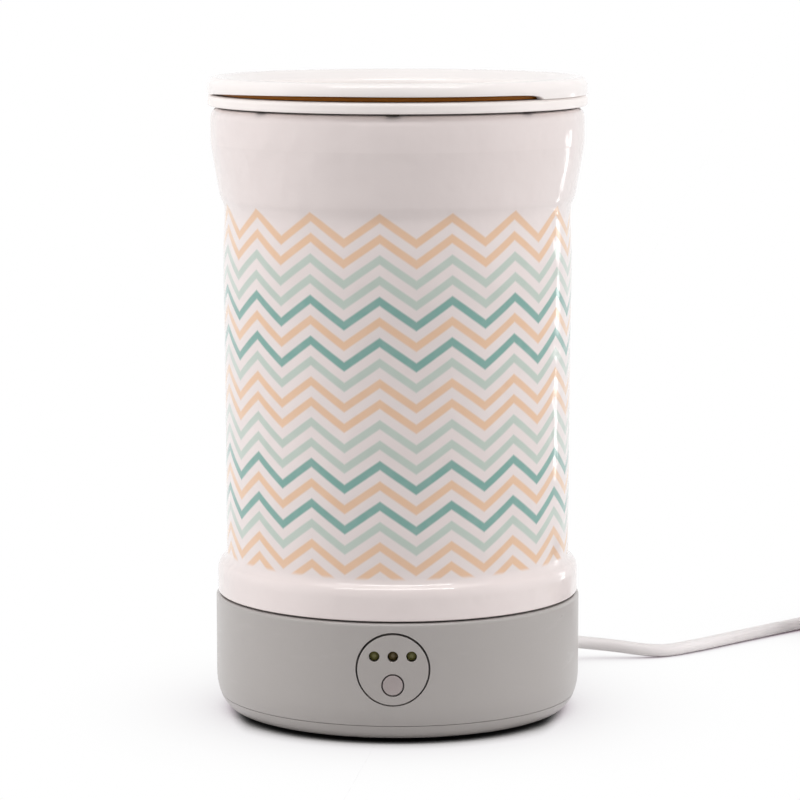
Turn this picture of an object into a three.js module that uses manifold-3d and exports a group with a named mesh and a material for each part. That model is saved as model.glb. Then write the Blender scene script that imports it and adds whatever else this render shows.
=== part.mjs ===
import * as THREE from 'three';
import { mergeVertices } from 'three/addons/utils/BufferGeometryUtils.js';
import Module from 'manifold-3d';

// Electric aroma lamp: a glazed ceramic body on a round plastic base, with a heated pan and a lift-off
// wax dish on top. Millimetres, +Z up. The origin lies on the table under the middle of the base,
// and the control panel faces -Y.

// Fits and facets
const FIT = 0.3;
const ROUND = 36;
const SMALL_ROUND = 12;
const OVERCUT = 1;
const DEGREE = Math.PI / 180;

// Base
const BASE_R = 54;
const BASE_TOP = 35.4;
const BASE_WALL = 2.8;
const BASE_DECK = 2.5;
const BASE_EDGE_R = 1;
const BASE_TUCK = 5.5;
const BASE_TUCK_HEIGHT = 10.75;
const PARTING_Z = 5.5;
const FOOT_R = 5;
const FOOT_PROUD = 1.2;
const FOOT_SINK = 0.5;
const FOOT_EDGE = 0.5;
const FOOT_INSET = 16;
const FOOT_COUNT = 4;
const FOOT_AZIMUTH = 35;
const COVER_THICKNESS = 2.2;
const COVER_LIP = 1.6;
const COVER_LIP_GAP = 0.4;
const COVER_LIP_TOP = 6.5;
const BOSS_R = 3.6;
const BOSS_INSET = 11.7;
const BOSS_AZIMUTHS = [95, 215, 335];
const COVER_BOSS_R = 4.6;
const COVER_BOSS_HEIGHT = 3;
const SPIGOT_WALL = 2;
const SPIGOT_HEIGHT = 2;

// Small screws
const SCREW_HEAD_R = 2.6;
const SCREW_HEAD = 1.6;
const SCREW_HEAD_SIDE = 0.6;
const SCREW_CROWN_R = 1.8;
const SCREW_R = 1.2;
const SCREW_LENGTH = 9;
const SCREW_TIP_GAP = 0.5;
const BOARD_SCREW_SCALE = 0.7;
const SCREW_SIDES = 8;

// Control panel
const PANEL_R = 10.25;
const PANEL_Z = 22;
const PANEL_SKIN = 2.5;
const PANEL_RIM = 1.5;
const PANEL_EAR = 1.6;
const PANEL_EAR_REACH = 1.8;
const PANEL_EAR_HEIGHT = 12;
const PANEL_SIDES = 28;
const PANEL_POST_R = 1.9;
const PANEL_POST_LENGTH = 3.8;
const LED_PITCH = 5.32;
const LED_RISE = 3.9;
const LED_HOLE_R = 1.55;
const LED_SINK = 1.3;
const LED_GAP = 0.25;
const LED_BODY_R = 1.75;
const LED_BODY = 2.6;
const BUTTON_DROP = 4.4;
const BUTTON_R = 2.95;
const BUTTON_EDGE = 0.3;
const BUTTON_SIDES = 24;
const BUTTON_FLANGE_R = 4.2;
const BUTTON_FLANGE = 1;
const BUTTON_TRAVEL = 0.5;
const BUTTON_STEM_R = 1.5;
const SWITCH_SIDE = 6;
const SWITCH_DEPTH = 3.3;
const PLUNGER_R = 1.5;
const PLUNGER_PROUD = 1.2;
const PLUNGER_SINK = 1.6;
const BOARD = 1.6;
const CONTROL_BOARD_WIDTH = 29;
const CONTROL_BOARD_HEIGHT = 18.5;

// Power board on the cover
const POWER_BOARD_WIDTH = 42;
const POWER_BOARD_DEPTH = 28;
const POWER_BOARD_GAP = 0.8;
const POWER_POST_R = 2.6;
const POWER_POST_HEIGHT = 4.4;
const POWER_POST_INSET = 3.5;
const TERMINAL_SIZE = [20, 9, 11];
const TERMINAL_X = 10;
const TERMINAL_BACK = 7;
const RELAY_SIZE = [12, 10, 13];
const RELAY_X = -7;
const RELAY_BACK = 6.5;
const CAPACITOR_R = 5;
const CAPACITOR_HEIGHT = 12;
const CAPACITOR_X = -9;
const CAPACITOR_FRONT = 6;
const RIBBON_WIDTH = 8;
const RIBBON_THICKNESS = 0.8;
const RIBBON_SAG = 4;
const RIBBON_STEPS = 12;

// Ceramic body
const SEAM = 0.5;
const SEAM_INSET = 1.6;
const CERAMIC_HEIGHT = 143.3;
const CERAMIC_WALL = 3.5;
const CERAMIC_FLOOR = 4.5;
const FOOT_BAND_STEP = 0.5;
const FOOT_BAND_HEIGHT = 6.2;
const FOOT_BAND_EDGE = 0.5;
const SHOULDER_STEP = 2.1;
const SHOULDER_HEIGHT = 3.6;
const SHOULDER_BLEND = 2.3;
const FOOT_RING = 6.4;
const FOOT_RECESS = 2.4;
const WAIST_STEP = 2.7;
const BELLY_SWELL = 0.6;
const BELLY_BELOW_RIM = 46.2;
const NECK_SWELL = 0.15;
const NECK_BELOW_RIM = 30.7;
const COLLAR_OUT = 1.35;
const COLLAR_BELOW_RIM = 25.6;
const FLARE_OUT = 2.45;
const FLARE_BELOW_RIM = 19.7;
const RIM_OUT = 1.55;
const RIM_BAND = 10.2;
const RIM_EDGE = 2.4;
const RIM_DROP = 3.2;
const BODY_STEPS = 12;

// Bezel, its gasket and the heated pan
const GASKET = 0.2;
const GASKET_INSET = 1.9;
const GASKET_WIDTH = 1.4;
const TAB_COUNT = 8;
const TAB_WIDTH = 3.6;
const TAB_REACH = 1.8;
const BEZEL_OVERHANG = 0.5;
const BEZEL_HEIGHT = 3.2;
const BEZEL_EDGE = 1.1;
const SKIRT = 1.3;
const BEZEL_BOSS_R = 3.2;
const BEZEL_BOSS_GAP = 0.85;
const BEZEL_BOSS_LENGTH = 18.5;
const BEZEL_WEB_WIDTH = 4;
const BEZEL_WEB_HEIGHT = 2.6;
const PAN_WALL = 0.9;
const PAN_DEPTH = 11.6;
const PAN_PROUD = 1.4;
const PAN_LEDGE = 3.5;
const PAN_CORNER = 2.4;
const PAN_BOSS_R = 2.8;
const PAN_BOSS_GAP = 1.2;
const PTC_SIZE = [32, 22, 5];
const CLAMP_WIDTH = 13;
const CLAMP_THICKNESS = 1.2;
const FUSE_R = 2;
const FUSE_LENGTH = 13;
const FUSE_GAP = 2;

// Tie tube and bracket that hold base, body and bezel together
const TUBE_R = 5;
const TUBE_BORE_R = 3.4;
const TUBE_PROUD = 1.8;
const NUT_R = 8;
const NUT_HEIGHT = 4;
const WASHER_R = 6.8;
const WASHER = 1.2;
const BRACKET_WIDTH = 14;
const BRACKET_THICKNESS = 1.5;
const LEAD_R = 0.9;
const LEAD_SPREAD = 1.4;
const LEAD_SIDES = 5;
const HEATER_LEAD_STEPS = 44;
const FUSE_LEAD_STEPS = 48;

// Wax dish
const DISH_OVERHANG = 0.15;
const DISH_LAND = 1.55;
const DISH_RIM = 3.55;
const DISH_LIP_R = 1.9;
const DISH_WALL = 2.8;
const DISH_LIP_WIDTH = 4.6;
const DISH_LAND_WIDTH = 2.2;
const DISH_SHOULDER = 0.8;
const BOWL_CORNER = 8;
const SCOOP_HALF_ANGLE = 65;
const SCOOP_AZIMUTHS = [255.9, 75.9];
const SCOOP_ARCH = 0.3;
const SCOOP_END = 0.02;
const SCOOP_SQUARENESS = 8;
const SCOOP_STEPS = 16;

// Mains lead
const CORD_R = 2;
const CORD_SIDES = 10;
const CORD_EXIT_AZIMUTH = 53.4;
const CORD_EXIT_Z = 12;
const CORD_DROOP = 8.5;
const RELIEF_LENGTH = 22;
const RELIEF_ROOT_R = 4.3;
const RELIEF_TIP_R = 2.7;
const RELIEF_FLANGE_R = 5;
const RELIEF_FLANGE = 2;
const RELIEF_NECK_R = 3.8;
const RELIEF_RIBS = 3;
const RELIEF_GROOVE = 0.6;
const RELIEF_GROOVE_HALF = 0.7;
const RELIEF_GROOVE_SLOPE = 0.2;
const CORD_STEPS = 22;
const INNER_CORD_R = 1.8;
const INNER_CORD_STEPS = 10;
const TAIL_STEPS = 10;
const COIL_CENTRE = [166.2, 112];
const COIL_INNER_R = 17.7;
const COIL_PITCH = 5.2;
const COIL_LAYER = 4.6;
const COIL_LAYERS = 4;
const COIL_LAYER_TURNS = 1.875;
const COIL_CLIMB_TURNS = 0.5;
const COIL_LOOP_STEPS = 24;
const COIL_SIDES = 6;
const TIE_THICKNESS = 0.6;
const TIE_WIDTH = 9;
const TIE_AZIMUTH = -60;
const PLUG_LENGTH = 36;
const PLUG_WIDTH = 35;
const PLUG_HEIGHT = 13.7;
const PLUG_HIP = 26;
const PLUG_CORNER = 4;
const PLUG_NECK_LENGTH = 18;
const PLUG_NECK_R = 4;
const PLUG_NECK_TIP = 0.7;
const PLUG_NECK_ROOT = 4;
const PLUG_ASIDE = 41;
const PLUG_BEHIND = 8;
const PLUG_LIFT = 0.05;
const PIN_R = 2;
const PIN_LENGTH = 19;
const PIN_SPACING = 18.6;
const PIN_SEAT = 7;
const PIN_TIP_STEPS = 3;

// Heights and radii that follow from the sizes above
const COVER_BOTTOM = FOOT_PROUD;
const COVER_TOP = COVER_BOTTOM + COVER_THICKNESS;
const DECK_UNDER = BASE_TOP - BASE_DECK;
const FOOT_BAND_R = BASE_R - FOOT_BAND_STEP;
const WAIST_R = FOOT_BAND_R - WAIST_STEP;
const BELLY_R = WAIST_R + BELLY_SWELL;
const NECK_R = WAIST_R + NECK_SWELL;
const FLARE_R = NECK_R + FLARE_OUT;
const RIM_R = FLARE_R + RIM_OUT;
const CERAMIC_BOTTOM = BASE_TOP + SEAM;
const CERAMIC_TOP = CERAMIC_BOTTOM + CERAMIC_HEIGHT;
const BEZEL_BOTTOM = CERAMIC_TOP + GASKET + FIT;
const BEZEL_TOP = BEZEL_BOTTOM + BEZEL_HEIGHT;
const BEZEL_R = RIM_R + BEZEL_OVERHANG;
const DISH_R = BEZEL_R + DISH_OVERHANG;
const RIM_BORE_R = RIM_R - CERAMIC_WALL;
const SKIRT_OUTER_R = RIM_BORE_R - FIT;
const SKIRT_INNER_R = SKIRT_OUTER_R - SKIRT;
const BEZEL_BOSS_CIRCLE_R = NECK_R - CERAMIC_WALL - BEZEL_BOSS_GAP - BEZEL_BOSS_R;
const PAN_R = SKIRT_INNER_R - FIT;
const PAN_BOSS_X = PTC_SIZE[0] / 2 + PAN_BOSS_R + PAN_BOSS_GAP;
const PAN_TOP = BEZEL_TOP + PAN_PROUD;
const PAN_UNDER = PAN_TOP - PAN_DEPTH;
const BEZEL_BOSS_TOP = PAN_UNDER - FIT;
const BEZEL_BOSS_END = BEZEL_BOSS_TOP - BEZEL_BOSS_LENGTH;
const BRACKET_TOP = BEZEL_BOSS_END - FIT;
const BRACKET_UNDER = BRACKET_TOP - BRACKET_THICKNESS;
const DISH_SEAT = BEZEL_TOP + FIT / 2;
const DISH_RIM_UNDER = DISH_SEAT + DISH_LAND;
const DISH_TOP = DISH_RIM_UNDER + DISH_RIM;
const BASE_BORE_R = BASE_R - BASE_WALL;
const BOSS_CIRCLE_R = BASE_BORE_R - BOSS_INSET;
const FOOT_CIRCLE_R = BASE_R - FOOT_INSET;
const POWER_BOARD_Z = COVER_TOP + POWER_POST_HEIGHT + FIT;
const POWER_TOP = POWER_BOARD_Z + BOARD;

const wasm = await Module();
wasm.setup();
const lamp = new THREE.Group();

// Shape helpers

function enclosedVolume(geometry) {
  const place = geometry.attributes.position;
  const corner = [0, 1, 2].map(() => new THREE.Vector3());
  let total = 0;
  for (let i = 0; i < geometry.index.count; i += 3) {
    corner.forEach((point, k) => point.fromBufferAttribute(place, geometry.index.getX(i + k)));
    total += corner[0].dot(corner[1].clone().cross(corner[2])) / 6;
  }
  return total;
}

// Welds shared corners, drops faces that have shrunk to a line and turns the faces outwards.
function tidy(geometry) {
  const bare = new THREE.BufferGeometry();
  bare.setAttribute('position', geometry.attributes.position.clone());
  bare.setIndex(geometry.index);
  const welded = mergeVertices(bare, 1e-4);
  const faces = [];
  for (let i = 0; i < welded.index.count; i += 3) {
    const [a, b, c] = [0, 1, 2].map((k) => welded.index.getX(i + k));
    if (a !== b && b !== c && c !== a) {
      faces.push([a, b, c]);
    }
  }
  welded.setIndex(faces.flat());
  if (enclosedVolume(welded) < 0) {
    welded.setIndex(faces.map(([a, b, c]) => [a, c, b]).flat());
  }
  return welded;
}

function solid(geometry) {
  const clean = tidy(geometry);
  const vertProperties = clean.attributes.position.array;
  const triVerts = Uint32Array.from(clean.index.array);
  return new wasm.Manifold(new wasm.Mesh({ numProp: 3, vertProperties, triVerts }));
}

function surface(body) {
  const { vertProperties, triVerts } = body.getMesh();
  const geometry = new THREE.BufferGeometry();
  geometry.setAttribute('position', new THREE.BufferAttribute(vertProperties, 3));
  geometry.setIndex(Array.from(triVerts));
  return geometry;
}

function join(first, ...others) {
  return surface(others.reduce((sum, other) => sum.add(solid(other)), solid(first)));
}

function cut(first, ...tools) {
  return surface(tools.reduce((rest, tool) => rest.subtract(solid(tool)), solid(first)));
}

function overlap(first, second) {
  return surface(solid(first).intersect(solid(second)));
}

// A body turned about Z from [radius, height] points that start and end on the axis.
function turned(profile, sides = ROUND) {
  const points = profile.map(([r, z]) => new THREE.Vector2(r, z));
  return new THREE.LatheGeometry(points, sides).rotateX(Math.PI / 2);
}

function turnedRing(profile, sides = ROUND) {
  return turned([...profile, profile[0]], sides);
}

function rod(radius, low, high, sides = SMALL_ROUND) {
  const bar = new THREE.CylinderGeometry(radius, radius, high - low, sides);
  return bar.rotateX(Math.PI / 2).translate(0, 0, (low + high) / 2);
}

function pipe(outer, inner, low, high, sides = SMALL_ROUND) {
  return turnedRing([[inner, low], [outer, low], [outer, high], [inner, high]], sides);
}

function block([width, depth, height], x, y, low) {
  return new THREE.BoxGeometry(width, depth, height).translate(x, y, low + height / 2);
}

// Points on a quarter or other part of an ellipse, in [radius, height].
function arc([r, z], [across, up], from, to, steps) {
  const points = [];
  for (let i = 0; i <= steps; i += 1) {
    const angle = (from + ((to - from) * i) / steps) * DEGREE;
    points.push([r + across * Math.cos(angle), z + up * Math.sin(angle)]);
  }
  return points;
}

function around(radius, degrees) {
  return [radius * Math.cos(degrees * DEGREE), radius * Math.sin(degrees * DEGREE)];
}

function tube(points, radius, sides, steps) {
  const path = new THREE.CatmullRomCurve3(points.map((p) => new THREE.Vector3(...p)), false, 'centripetal');
  const section = new THREE.Shape(
    Array.from({ length: sides }, (_, i) => new THREE.Vector2(...around(radius, (360 * i) / sides))),
  );
  return new THREE.ExtrudeGeometry(section, { steps, bevelEnabled: false, extrudePath: path });
}

function add(name, geometry, colour, roughness, metalness, home = lamp) {
  const material = new THREE.MeshStandardMaterial({ color: colour, roughness, metalness });
  const piece = new THREE.Mesh(tidy(geometry), material);
  piece.name = name;
  home.add(piece);
  return piece;
}

// A pan-head screw whose head rests at z = 0 and whose shank points up.
function screw(length = SCREW_LENGTH) {
  return turned([
    [0, -SCREW_HEAD],
    [SCREW_CROWN_R, -SCREW_HEAD],
    [SCREW_HEAD_R, -SCREW_HEAD_SIDE],
    [SCREW_HEAD_R, 0],
    [SCREW_R, 0],
    [SCREW_R, length],
    [0, length],
  ], SCREW_SIDES);
}

const SCREW_BORE_R = SCREW_R + FIT;
const BOARD_BORE_R = SCREW_R * BOARD_SCREW_SCALE + FIT;

// Base: outer curve shared by the cover and the shell

function tuckedEdge(from, to, steps) {
  const angle = (z) => -Math.asin(1 - (z - COVER_BOTTOM) / BASE_TUCK_HEIGHT) / DEGREE;
  const centre = [BASE_R - BASE_TUCK, COVER_BOTTOM + BASE_TUCK_HEIGHT];
  return arc(centre, [BASE_TUCK, BASE_TUCK_HEIGHT], angle(from), angle(to), steps);
}

// Bottom cover: a dished plate with a lip inside the shell, three screw wells and four board posts

const LIP_OUTER_R = BASE_BORE_R - COVER_LIP_GAP;
const coverPlate = turned([
  [0, COVER_BOTTOM],
  ...tuckedEdge(COVER_BOTTOM, PARTING_Z - FIT / 2, 4),
  [LIP_OUTER_R, PARTING_Z - FIT / 2],
  [LIP_OUTER_R, COVER_LIP_TOP],
  [LIP_OUTER_R - COVER_LIP, COVER_LIP_TOP],
  [LIP_OUTER_R - COVER_LIP, COVER_TOP],
  [0, COVER_TOP],
]);
const bossPlaces = BOSS_AZIMUTHS.map((azimuth) => around(BOSS_CIRCLE_R, azimuth));
const footPlaces = Array.from({ length: FOOT_COUNT }, (_, i) => (
  around(FOOT_CIRCLE_R, FOOT_AZIMUTH + (360 * i) / FOOT_COUNT)
));
const COVER_BOSS_TOP = COVER_TOP + COVER_BOSS_HEIGHT;
const SCREW_SEAT = COVER_BOSS_TOP - COVER_THICKNESS;
const rearBoss = Math.max(...bossPlaces.map(([, y]) => y));
const POWER_BOARD_Y = rearBoss - COVER_BOSS_R - POWER_BOARD_GAP - POWER_BOARD_DEPTH / 2;
const postPlace = ([sx, sy]) => [
  sx * (POWER_BOARD_WIDTH / 2 - POWER_POST_INSET),
  POWER_BOARD_Y + sy * (POWER_BOARD_DEPTH / 2 - POWER_POST_INSET),
];
const postCorners = [[-1, -1], [1, -1], [-1, 1], [1, 1]];
const boardPosts = postCorners.map(postPlace);
const screwedPosts = postCorners.filter(([sx, sy]) => sx !== sy).map(postPlace);
const POST_TOP = COVER_TOP + POWER_POST_HEIGHT;
const coverWithPosts = join(
  coverPlate,
  ...bossPlaces.map(([x, y]) => rod(COVER_BOSS_R, COVER_BOTTOM + OVERCUT, COVER_BOSS_TOP).translate(x, y, 0)),
  ...boardPosts.map(([x, y]) => rod(POWER_POST_R, COVER_TOP - OVERCUT, POST_TOP).translate(x, y, 0)),
);
const POWER_SCREW_LENGTH = BOARD + FIT + POWER_POST_HEIGHT - SCREW_TIP_GAP;
add('base_cover', cut(
  coverWithPosts,
  ...bossPlaces.map(([x, y]) => rod(SCREW_HEAD_R + FIT, 0, SCREW_SEAT).translate(x, y, 0)),
  ...bossPlaces.map(([x, y]) => rod(SCREW_BORE_R, 0, COVER_BOSS_TOP + OVERCUT).translate(x, y, 0)),
  ...footPlaces.map(([x, y]) => rod(FOOT_R + FIT, 0, COVER_BOTTOM + FOOT_SINK).translate(x, y, 0)),
  ...screwedPosts.map(([x, y]) => rod(SCREW_BORE_R, COVER_TOP, POWER_TOP).translate(x, y, 0)),
), 0x9c9a96, 0.6, 0);

footPlaces.forEach(([x, y], i) => {
  const foot = turned([
    [0, 0],
    [FOOT_R - FOOT_EDGE, 0],
    [FOOT_R, FOOT_EDGE],
    [FOOT_R, COVER_BOTTOM + FOOT_SINK - FIT],
    [0, COVER_BOTTOM + FOOT_SINK - FIT],
  ], SMALL_ROUND);
  add(`foot_${i + 1}`, foot.translate(x, y, 0), 0x3a3a3a, 0.9, 0);
});

bossPlaces.forEach(([x, y], i) => {
  add(`cover_screw_${i + 1}`, screw().translate(x, y, SCREW_SEAT - FIT / 2), 0x8d8f92, 0.35, 1);
});

// Shell: an inverted cup with a spigot for the ceramic foot, screw bosses, panel and cord holes

const FOOT_RECESS_R = FOOT_BAND_R - FOOT_RING;
const TUBE_HOLE_R = TUBE_R + FIT;
const shellCup = turnedRing([
  [BASE_BORE_R, PARTING_Z + FIT / 2],
  ...tuckedEdge(PARTING_Z + FIT / 2, COVER_BOTTOM + BASE_TUCK_HEIGHT, 4),
  ...arc([BASE_R - BASE_EDGE_R, BASE_TOP - BASE_EDGE_R], [BASE_EDGE_R, BASE_EDGE_R], 0, 90, 4),
  [FOOT_RECESS_R - FIT, BASE_TOP],
  [FOOT_RECESS_R - FIT, BASE_TOP + SPIGOT_HEIGHT],
  [FOOT_RECESS_R - FIT - SPIGOT_WALL, BASE_TOP + SPIGOT_HEIGHT],
  [FOOT_RECESS_R - FIT - SPIGOT_WALL, BASE_TOP],
  [TUBE_HOLE_R, BASE_TOP],
  [TUBE_HOLE_R, DECK_UNDER],
  [BASE_BORE_R, DECK_UNDER],
]);
const BOSS_END = COVER_BOSS_TOP + FIT;
const shellBosses = bossPlaces.map(([x, y]) => (
  rod(BOSS_R, BOSS_END, DECK_UNDER + OVERCUT).translate(x, y, 0)
));
const bossBores = bossPlaces.map(([x, y]) => (
  rod(SCREW_BORE_R, 0, SCREW_SEAT + SCREW_LENGTH + OVERCUT).translate(x, y, 0)
));
const panelHole = rod(PANEL_R + FIT, BASE_R - 4 * BASE_WALL, BASE_R + BASE_WALL, PANEL_SIDES)
  .rotateX(Math.PI / 2).translate(0, 0, PANEL_Z);

// The cord leaves through a bush: its own frame has +Z along the cord, outwards and a little down.
const relief = new THREE.Group();
relief.position.set(...around(BASE_R, CORD_EXIT_AZIMUTH), CORD_EXIT_Z);
relief.rotation.set(0, (90 + CORD_DROOP) * DEGREE, CORD_EXIT_AZIMUTH * DEGREE, 'ZYX');
relief.updateMatrix();
const cordHole = rod(RELIEF_NECK_R + FIT, -4 * BASE_WALL, 2 * BASE_WALL).applyMatrix4(relief.matrix);

add('base_shell', cut(
  join(shellCup, ...shellBosses),
  ...bossBores,
  panelHole,
  cordHole,
), 0xa3a09b, 0.62, 0);

// Control panel: a round insert, flush with the wall, in a frame whose +Z points out of the front

const front = new THREE.Group();
front.position.set(0, 0, PANEL_Z);
front.rotation.x = Math.PI / 2;
lamp.add(front);

const SKIN_BACK = BASE_R - PANEL_SKIN;
const EAR_R = PANEL_R + PANEL_EAR_REACH;
const EAR_FRONT = Math.sqrt(BASE_BORE_R ** 2 - EAR_R ** 2) - 2 * FIT;
const EAR_BACK = EAR_FRONT - PANEL_EAR;
const POST_X = PANEL_R;
const POST_END = EAR_BACK - PANEL_POST_LENGTH;
const CONTROL_FACE = POST_END - FIT;
const CONTROL_BACK = CONTROL_FACE - BOARD;
const CONTROL_SCREW_LENGTH = BOARD + 2 * FIT + PANEL_POST_LENGTH;
const postSides = [-POST_X, POST_X];
const ledPlaces = [-1, 0, 1].map((step) => step * LED_PITCH);
const outside = new THREE.CylinderGeometry(BASE_R, BASE_R, 2 * BASE_TOP, ROUND);
const panelPlug = overlap(rod(PANEL_R, EAR_BACK, BASE_R + BASE_WALL, PANEL_SIDES), outside);
const posts = postSides.map((x) => rod(PANEL_POST_R, POST_END, EAR_BACK + OVERCUT).translate(x, 0, 0));
const ears = overlap(
  rod(EAR_R, EAR_BACK, EAR_FRONT, PANEL_SIDES),
  block([2 * EAR_R + OVERCUT, PANEL_EAR_HEIGHT, 2 * PANEL_EAR], 0, 0, EAR_BACK - PANEL_EAR / 2),
);
add('control_panel', cut(
  join(panelPlug, ears, ...posts),
  rod(PANEL_R - PANEL_RIM, POST_END - OVERCUT, SKIN_BACK, PANEL_SIDES),
  ...ledPlaces.map((x) => rod(LED_HOLE_R, SKIN_BACK - OVERCUT, BASE_R + OVERCUT).translate(x, LED_RISE, 0)),
  rod(BUTTON_R + FIT, SKIN_BACK - OVERCUT, BASE_R + OVERCUT, BUTTON_SIDES).translate(0, -BUTTON_DROP, 0),
  ...postSides.map((x) => rod(BOARD_BORE_R, POST_END - OVERCUT, EAR_BACK).translate(x, 0, 0)),
), 0xa9a6a1, 0.55, 0, front);

const LED_R = LED_HOLE_R - LED_GAP;
const LED_TIP = BASE_R - LED_SINK;
ledPlaces.forEach((x, i) => {
  const led = turned([
    [0, CONTROL_FACE + FIT],
    [LED_BODY_R, CONTROL_FACE + FIT],
    [LED_BODY_R, CONTROL_FACE + FIT + LED_BODY],
    ...arc([0, LED_TIP - LED_R], [LED_R, LED_R], 0, 90, 4),
  ], SMALL_ROUND);
  add(`led_${i + 1}`, led.translate(x, LED_RISE, 0), 0x8f9a3c, 0.3, 0, front);
});

const CAP_SHOULDER = SKIN_BACK - FIT;
const SWITCH_FRONT = CONTROL_FACE + FIT + SWITCH_DEPTH;
const PLUNGER_FRONT = SWITCH_FRONT + PLUNGER_PROUD;
const buttonCap = turned([
  [0, PLUNGER_FRONT + FIT],
  [BUTTON_STEM_R, PLUNGER_FRONT + FIT],
  [BUTTON_STEM_R, CAP_SHOULDER - BUTTON_FLANGE],
  [BUTTON_FLANGE_R, CAP_SHOULDER - BUTTON_FLANGE],
  [BUTTON_FLANGE_R, CAP_SHOULDER],
  [BUTTON_R, CAP_SHOULDER],
  [BUTTON_R, BASE_R - BUTTON_EDGE],
  [BUTTON_R - BUTTON_EDGE, BASE_R],
  [0, BASE_R],
], BUTTON_SIDES);
add('button_cap', buttonCap.translate(0, -BUTTON_DROP, 0), 0xb4aeac, 0.5, 0, front);
const plunger = rod(PLUNGER_R, SWITCH_FRONT - PLUNGER_SINK, PLUNGER_FRONT);
add('switch_plunger', plunger.translate(0, -BUTTON_DROP, 0), 0x26282a, 0.5, 0, front);
const WELL_FLOOR = SWITCH_FRONT - PLUNGER_SINK - BUTTON_TRAVEL - FIT;
const switchWell = rod(PLUNGER_R + FIT, WELL_FLOOR, SWITCH_FRONT + OVERCUT);
add('tact_switch', cut(
  block([SWITCH_SIDE, SWITCH_SIDE, SWITCH_DEPTH], 0, -BUTTON_DROP, CONTROL_FACE + FIT),
  switchWell.translate(0, -BUTTON_DROP, 0),
), 0x55585c, 0.4, 0.6, front);
add('control_board', cut(
  block([CONTROL_BOARD_WIDTH, CONTROL_BOARD_HEIGHT, BOARD], 0, 0, CONTROL_BACK),
  ...postSides.map((x) => (
    rod(BOARD_BORE_R, CONTROL_BACK - OVERCUT, CONTROL_FACE + OVERCUT).translate(x, 0, 0)
  )),
), 0x2f6b45, 0.5, 0, front);
postSides.forEach((x, i) => {
  const controlScrew = screw(CONTROL_SCREW_LENGTH).scale(BOARD_SCREW_SCALE, BOARD_SCREW_SCALE, 1);
  const place = [x, 0, CONTROL_BACK - FIT];
  add(`control_screw_${i + 1}`, controlScrew.translate(...place), 0x8d8f92, 0.35, 1, front);
});

// Power board with its parts, on the cover's posts

add('power_board', cut(
  block([POWER_BOARD_WIDTH, POWER_BOARD_DEPTH, BOARD], 0, POWER_BOARD_Y, POWER_BOARD_Z),
  ...screwedPosts.map(([x, y]) => (
    rod(SCREW_BORE_R, POWER_BOARD_Z - OVERCUT, POWER_TOP + OVERCUT).translate(x, y, 0)
  )),
), 0x2f6b45, 0.5, 0);
screwedPosts.forEach(([x, y], i) => {
  const boardScrew = screw(POWER_SCREW_LENGTH).rotateX(Math.PI);
  add(`power_screw_${i + 1}`, boardScrew.translate(x, y, POWER_TOP + FIT), 0x8d8f92, 0.35, 1);
});
const PART_SEAT = POWER_TOP + FIT;
const TERMINAL_Y = POWER_BOARD_Y + TERMINAL_BACK;
add('terminal_block', block(TERMINAL_SIZE, TERMINAL_X, TERMINAL_Y, PART_SEAT), 0x3f7f4f, 0.5, 0);
add('relay', block(RELAY_SIZE, RELAY_X, POWER_BOARD_Y + RELAY_BACK, PART_SEAT), 0x1f3f7a, 0.4, 0);
const capacitor = rod(CAPACITOR_R, PART_SEAT, PART_SEAT + CAPACITOR_HEIGHT);
add('capacitor', capacitor.translate(CAPACITOR_X, POWER_BOARD_Y - CAPACITOR_FRONT, 0), 0x2a2c30, 0.4, 0);

// Flat cable from the control board's back down to the power board
const ribbonTop = [-CONTROL_BACK + FIT, PANEL_Z - CONTROL_BOARD_HEIGHT / 4];
const ribbonEnd = [POWER_BOARD_Y - POWER_BOARD_DEPTH / 2 + RIBBON_THICKNESS, POWER_TOP + FIT];
const ribbonMid = [(ribbonTop[0] + ribbonEnd[0]) / 2, ribbonEnd[1] + RIBBON_SAG];
const ribbonLine = new THREE.SplineCurve([
  ribbonTop,
  [ribbonTop[0] + RIBBON_SAG, ribbonTop[1] - RIBBON_SAG / 4],
  ribbonMid,
  [ribbonEnd[0] - RIBBON_SAG / 2, ribbonEnd[1] + RIBBON_SAG],
  ribbonEnd,
].map(([y, z]) => new THREE.Vector2(y, z)));
const ribbonSteps = Array.from({ length: RIBBON_STEPS + 1 }, (_, i) => i / RIBBON_STEPS);
const ribbonSide = (offset) => ribbonSteps.map((t) => {
  const tangent = ribbonLine.getTangent(t);
  return ribbonLine.getPoint(t).add(new THREE.Vector2(-tangent.y, tangent.x).multiplyScalar(offset));
});
const ribbonOutline = new THREE.Shape([
  ...ribbonSide(RIBBON_THICKNESS),
  ...ribbonSide(0).reverse(),
]);
const ribbon = new THREE.ExtrudeGeometry(ribbonOutline, { depth: RIBBON_WIDTH, bevelEnabled: false });
// The outline is drawn in (y, z), so its plane is turned to stand across X.
ribbon.applyMatrix4(new THREE.Matrix4().makeBasis(
  new THREE.Vector3(0, 1, 0),
  new THREE.Vector3(0, 0, 1),
  new THREE.Vector3(1, 0, 0),
)).translate(POWER_BOARD_WIDTH / 4 - RIBBON_WIDTH / 2, 0, 0);
add('ribbon_cable', ribbon, 0xb9bcc2, 0.6, 0);

// Ceramic body: foot band, slim wall, flared rim, and a floor with a hole for the tie tube

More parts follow.
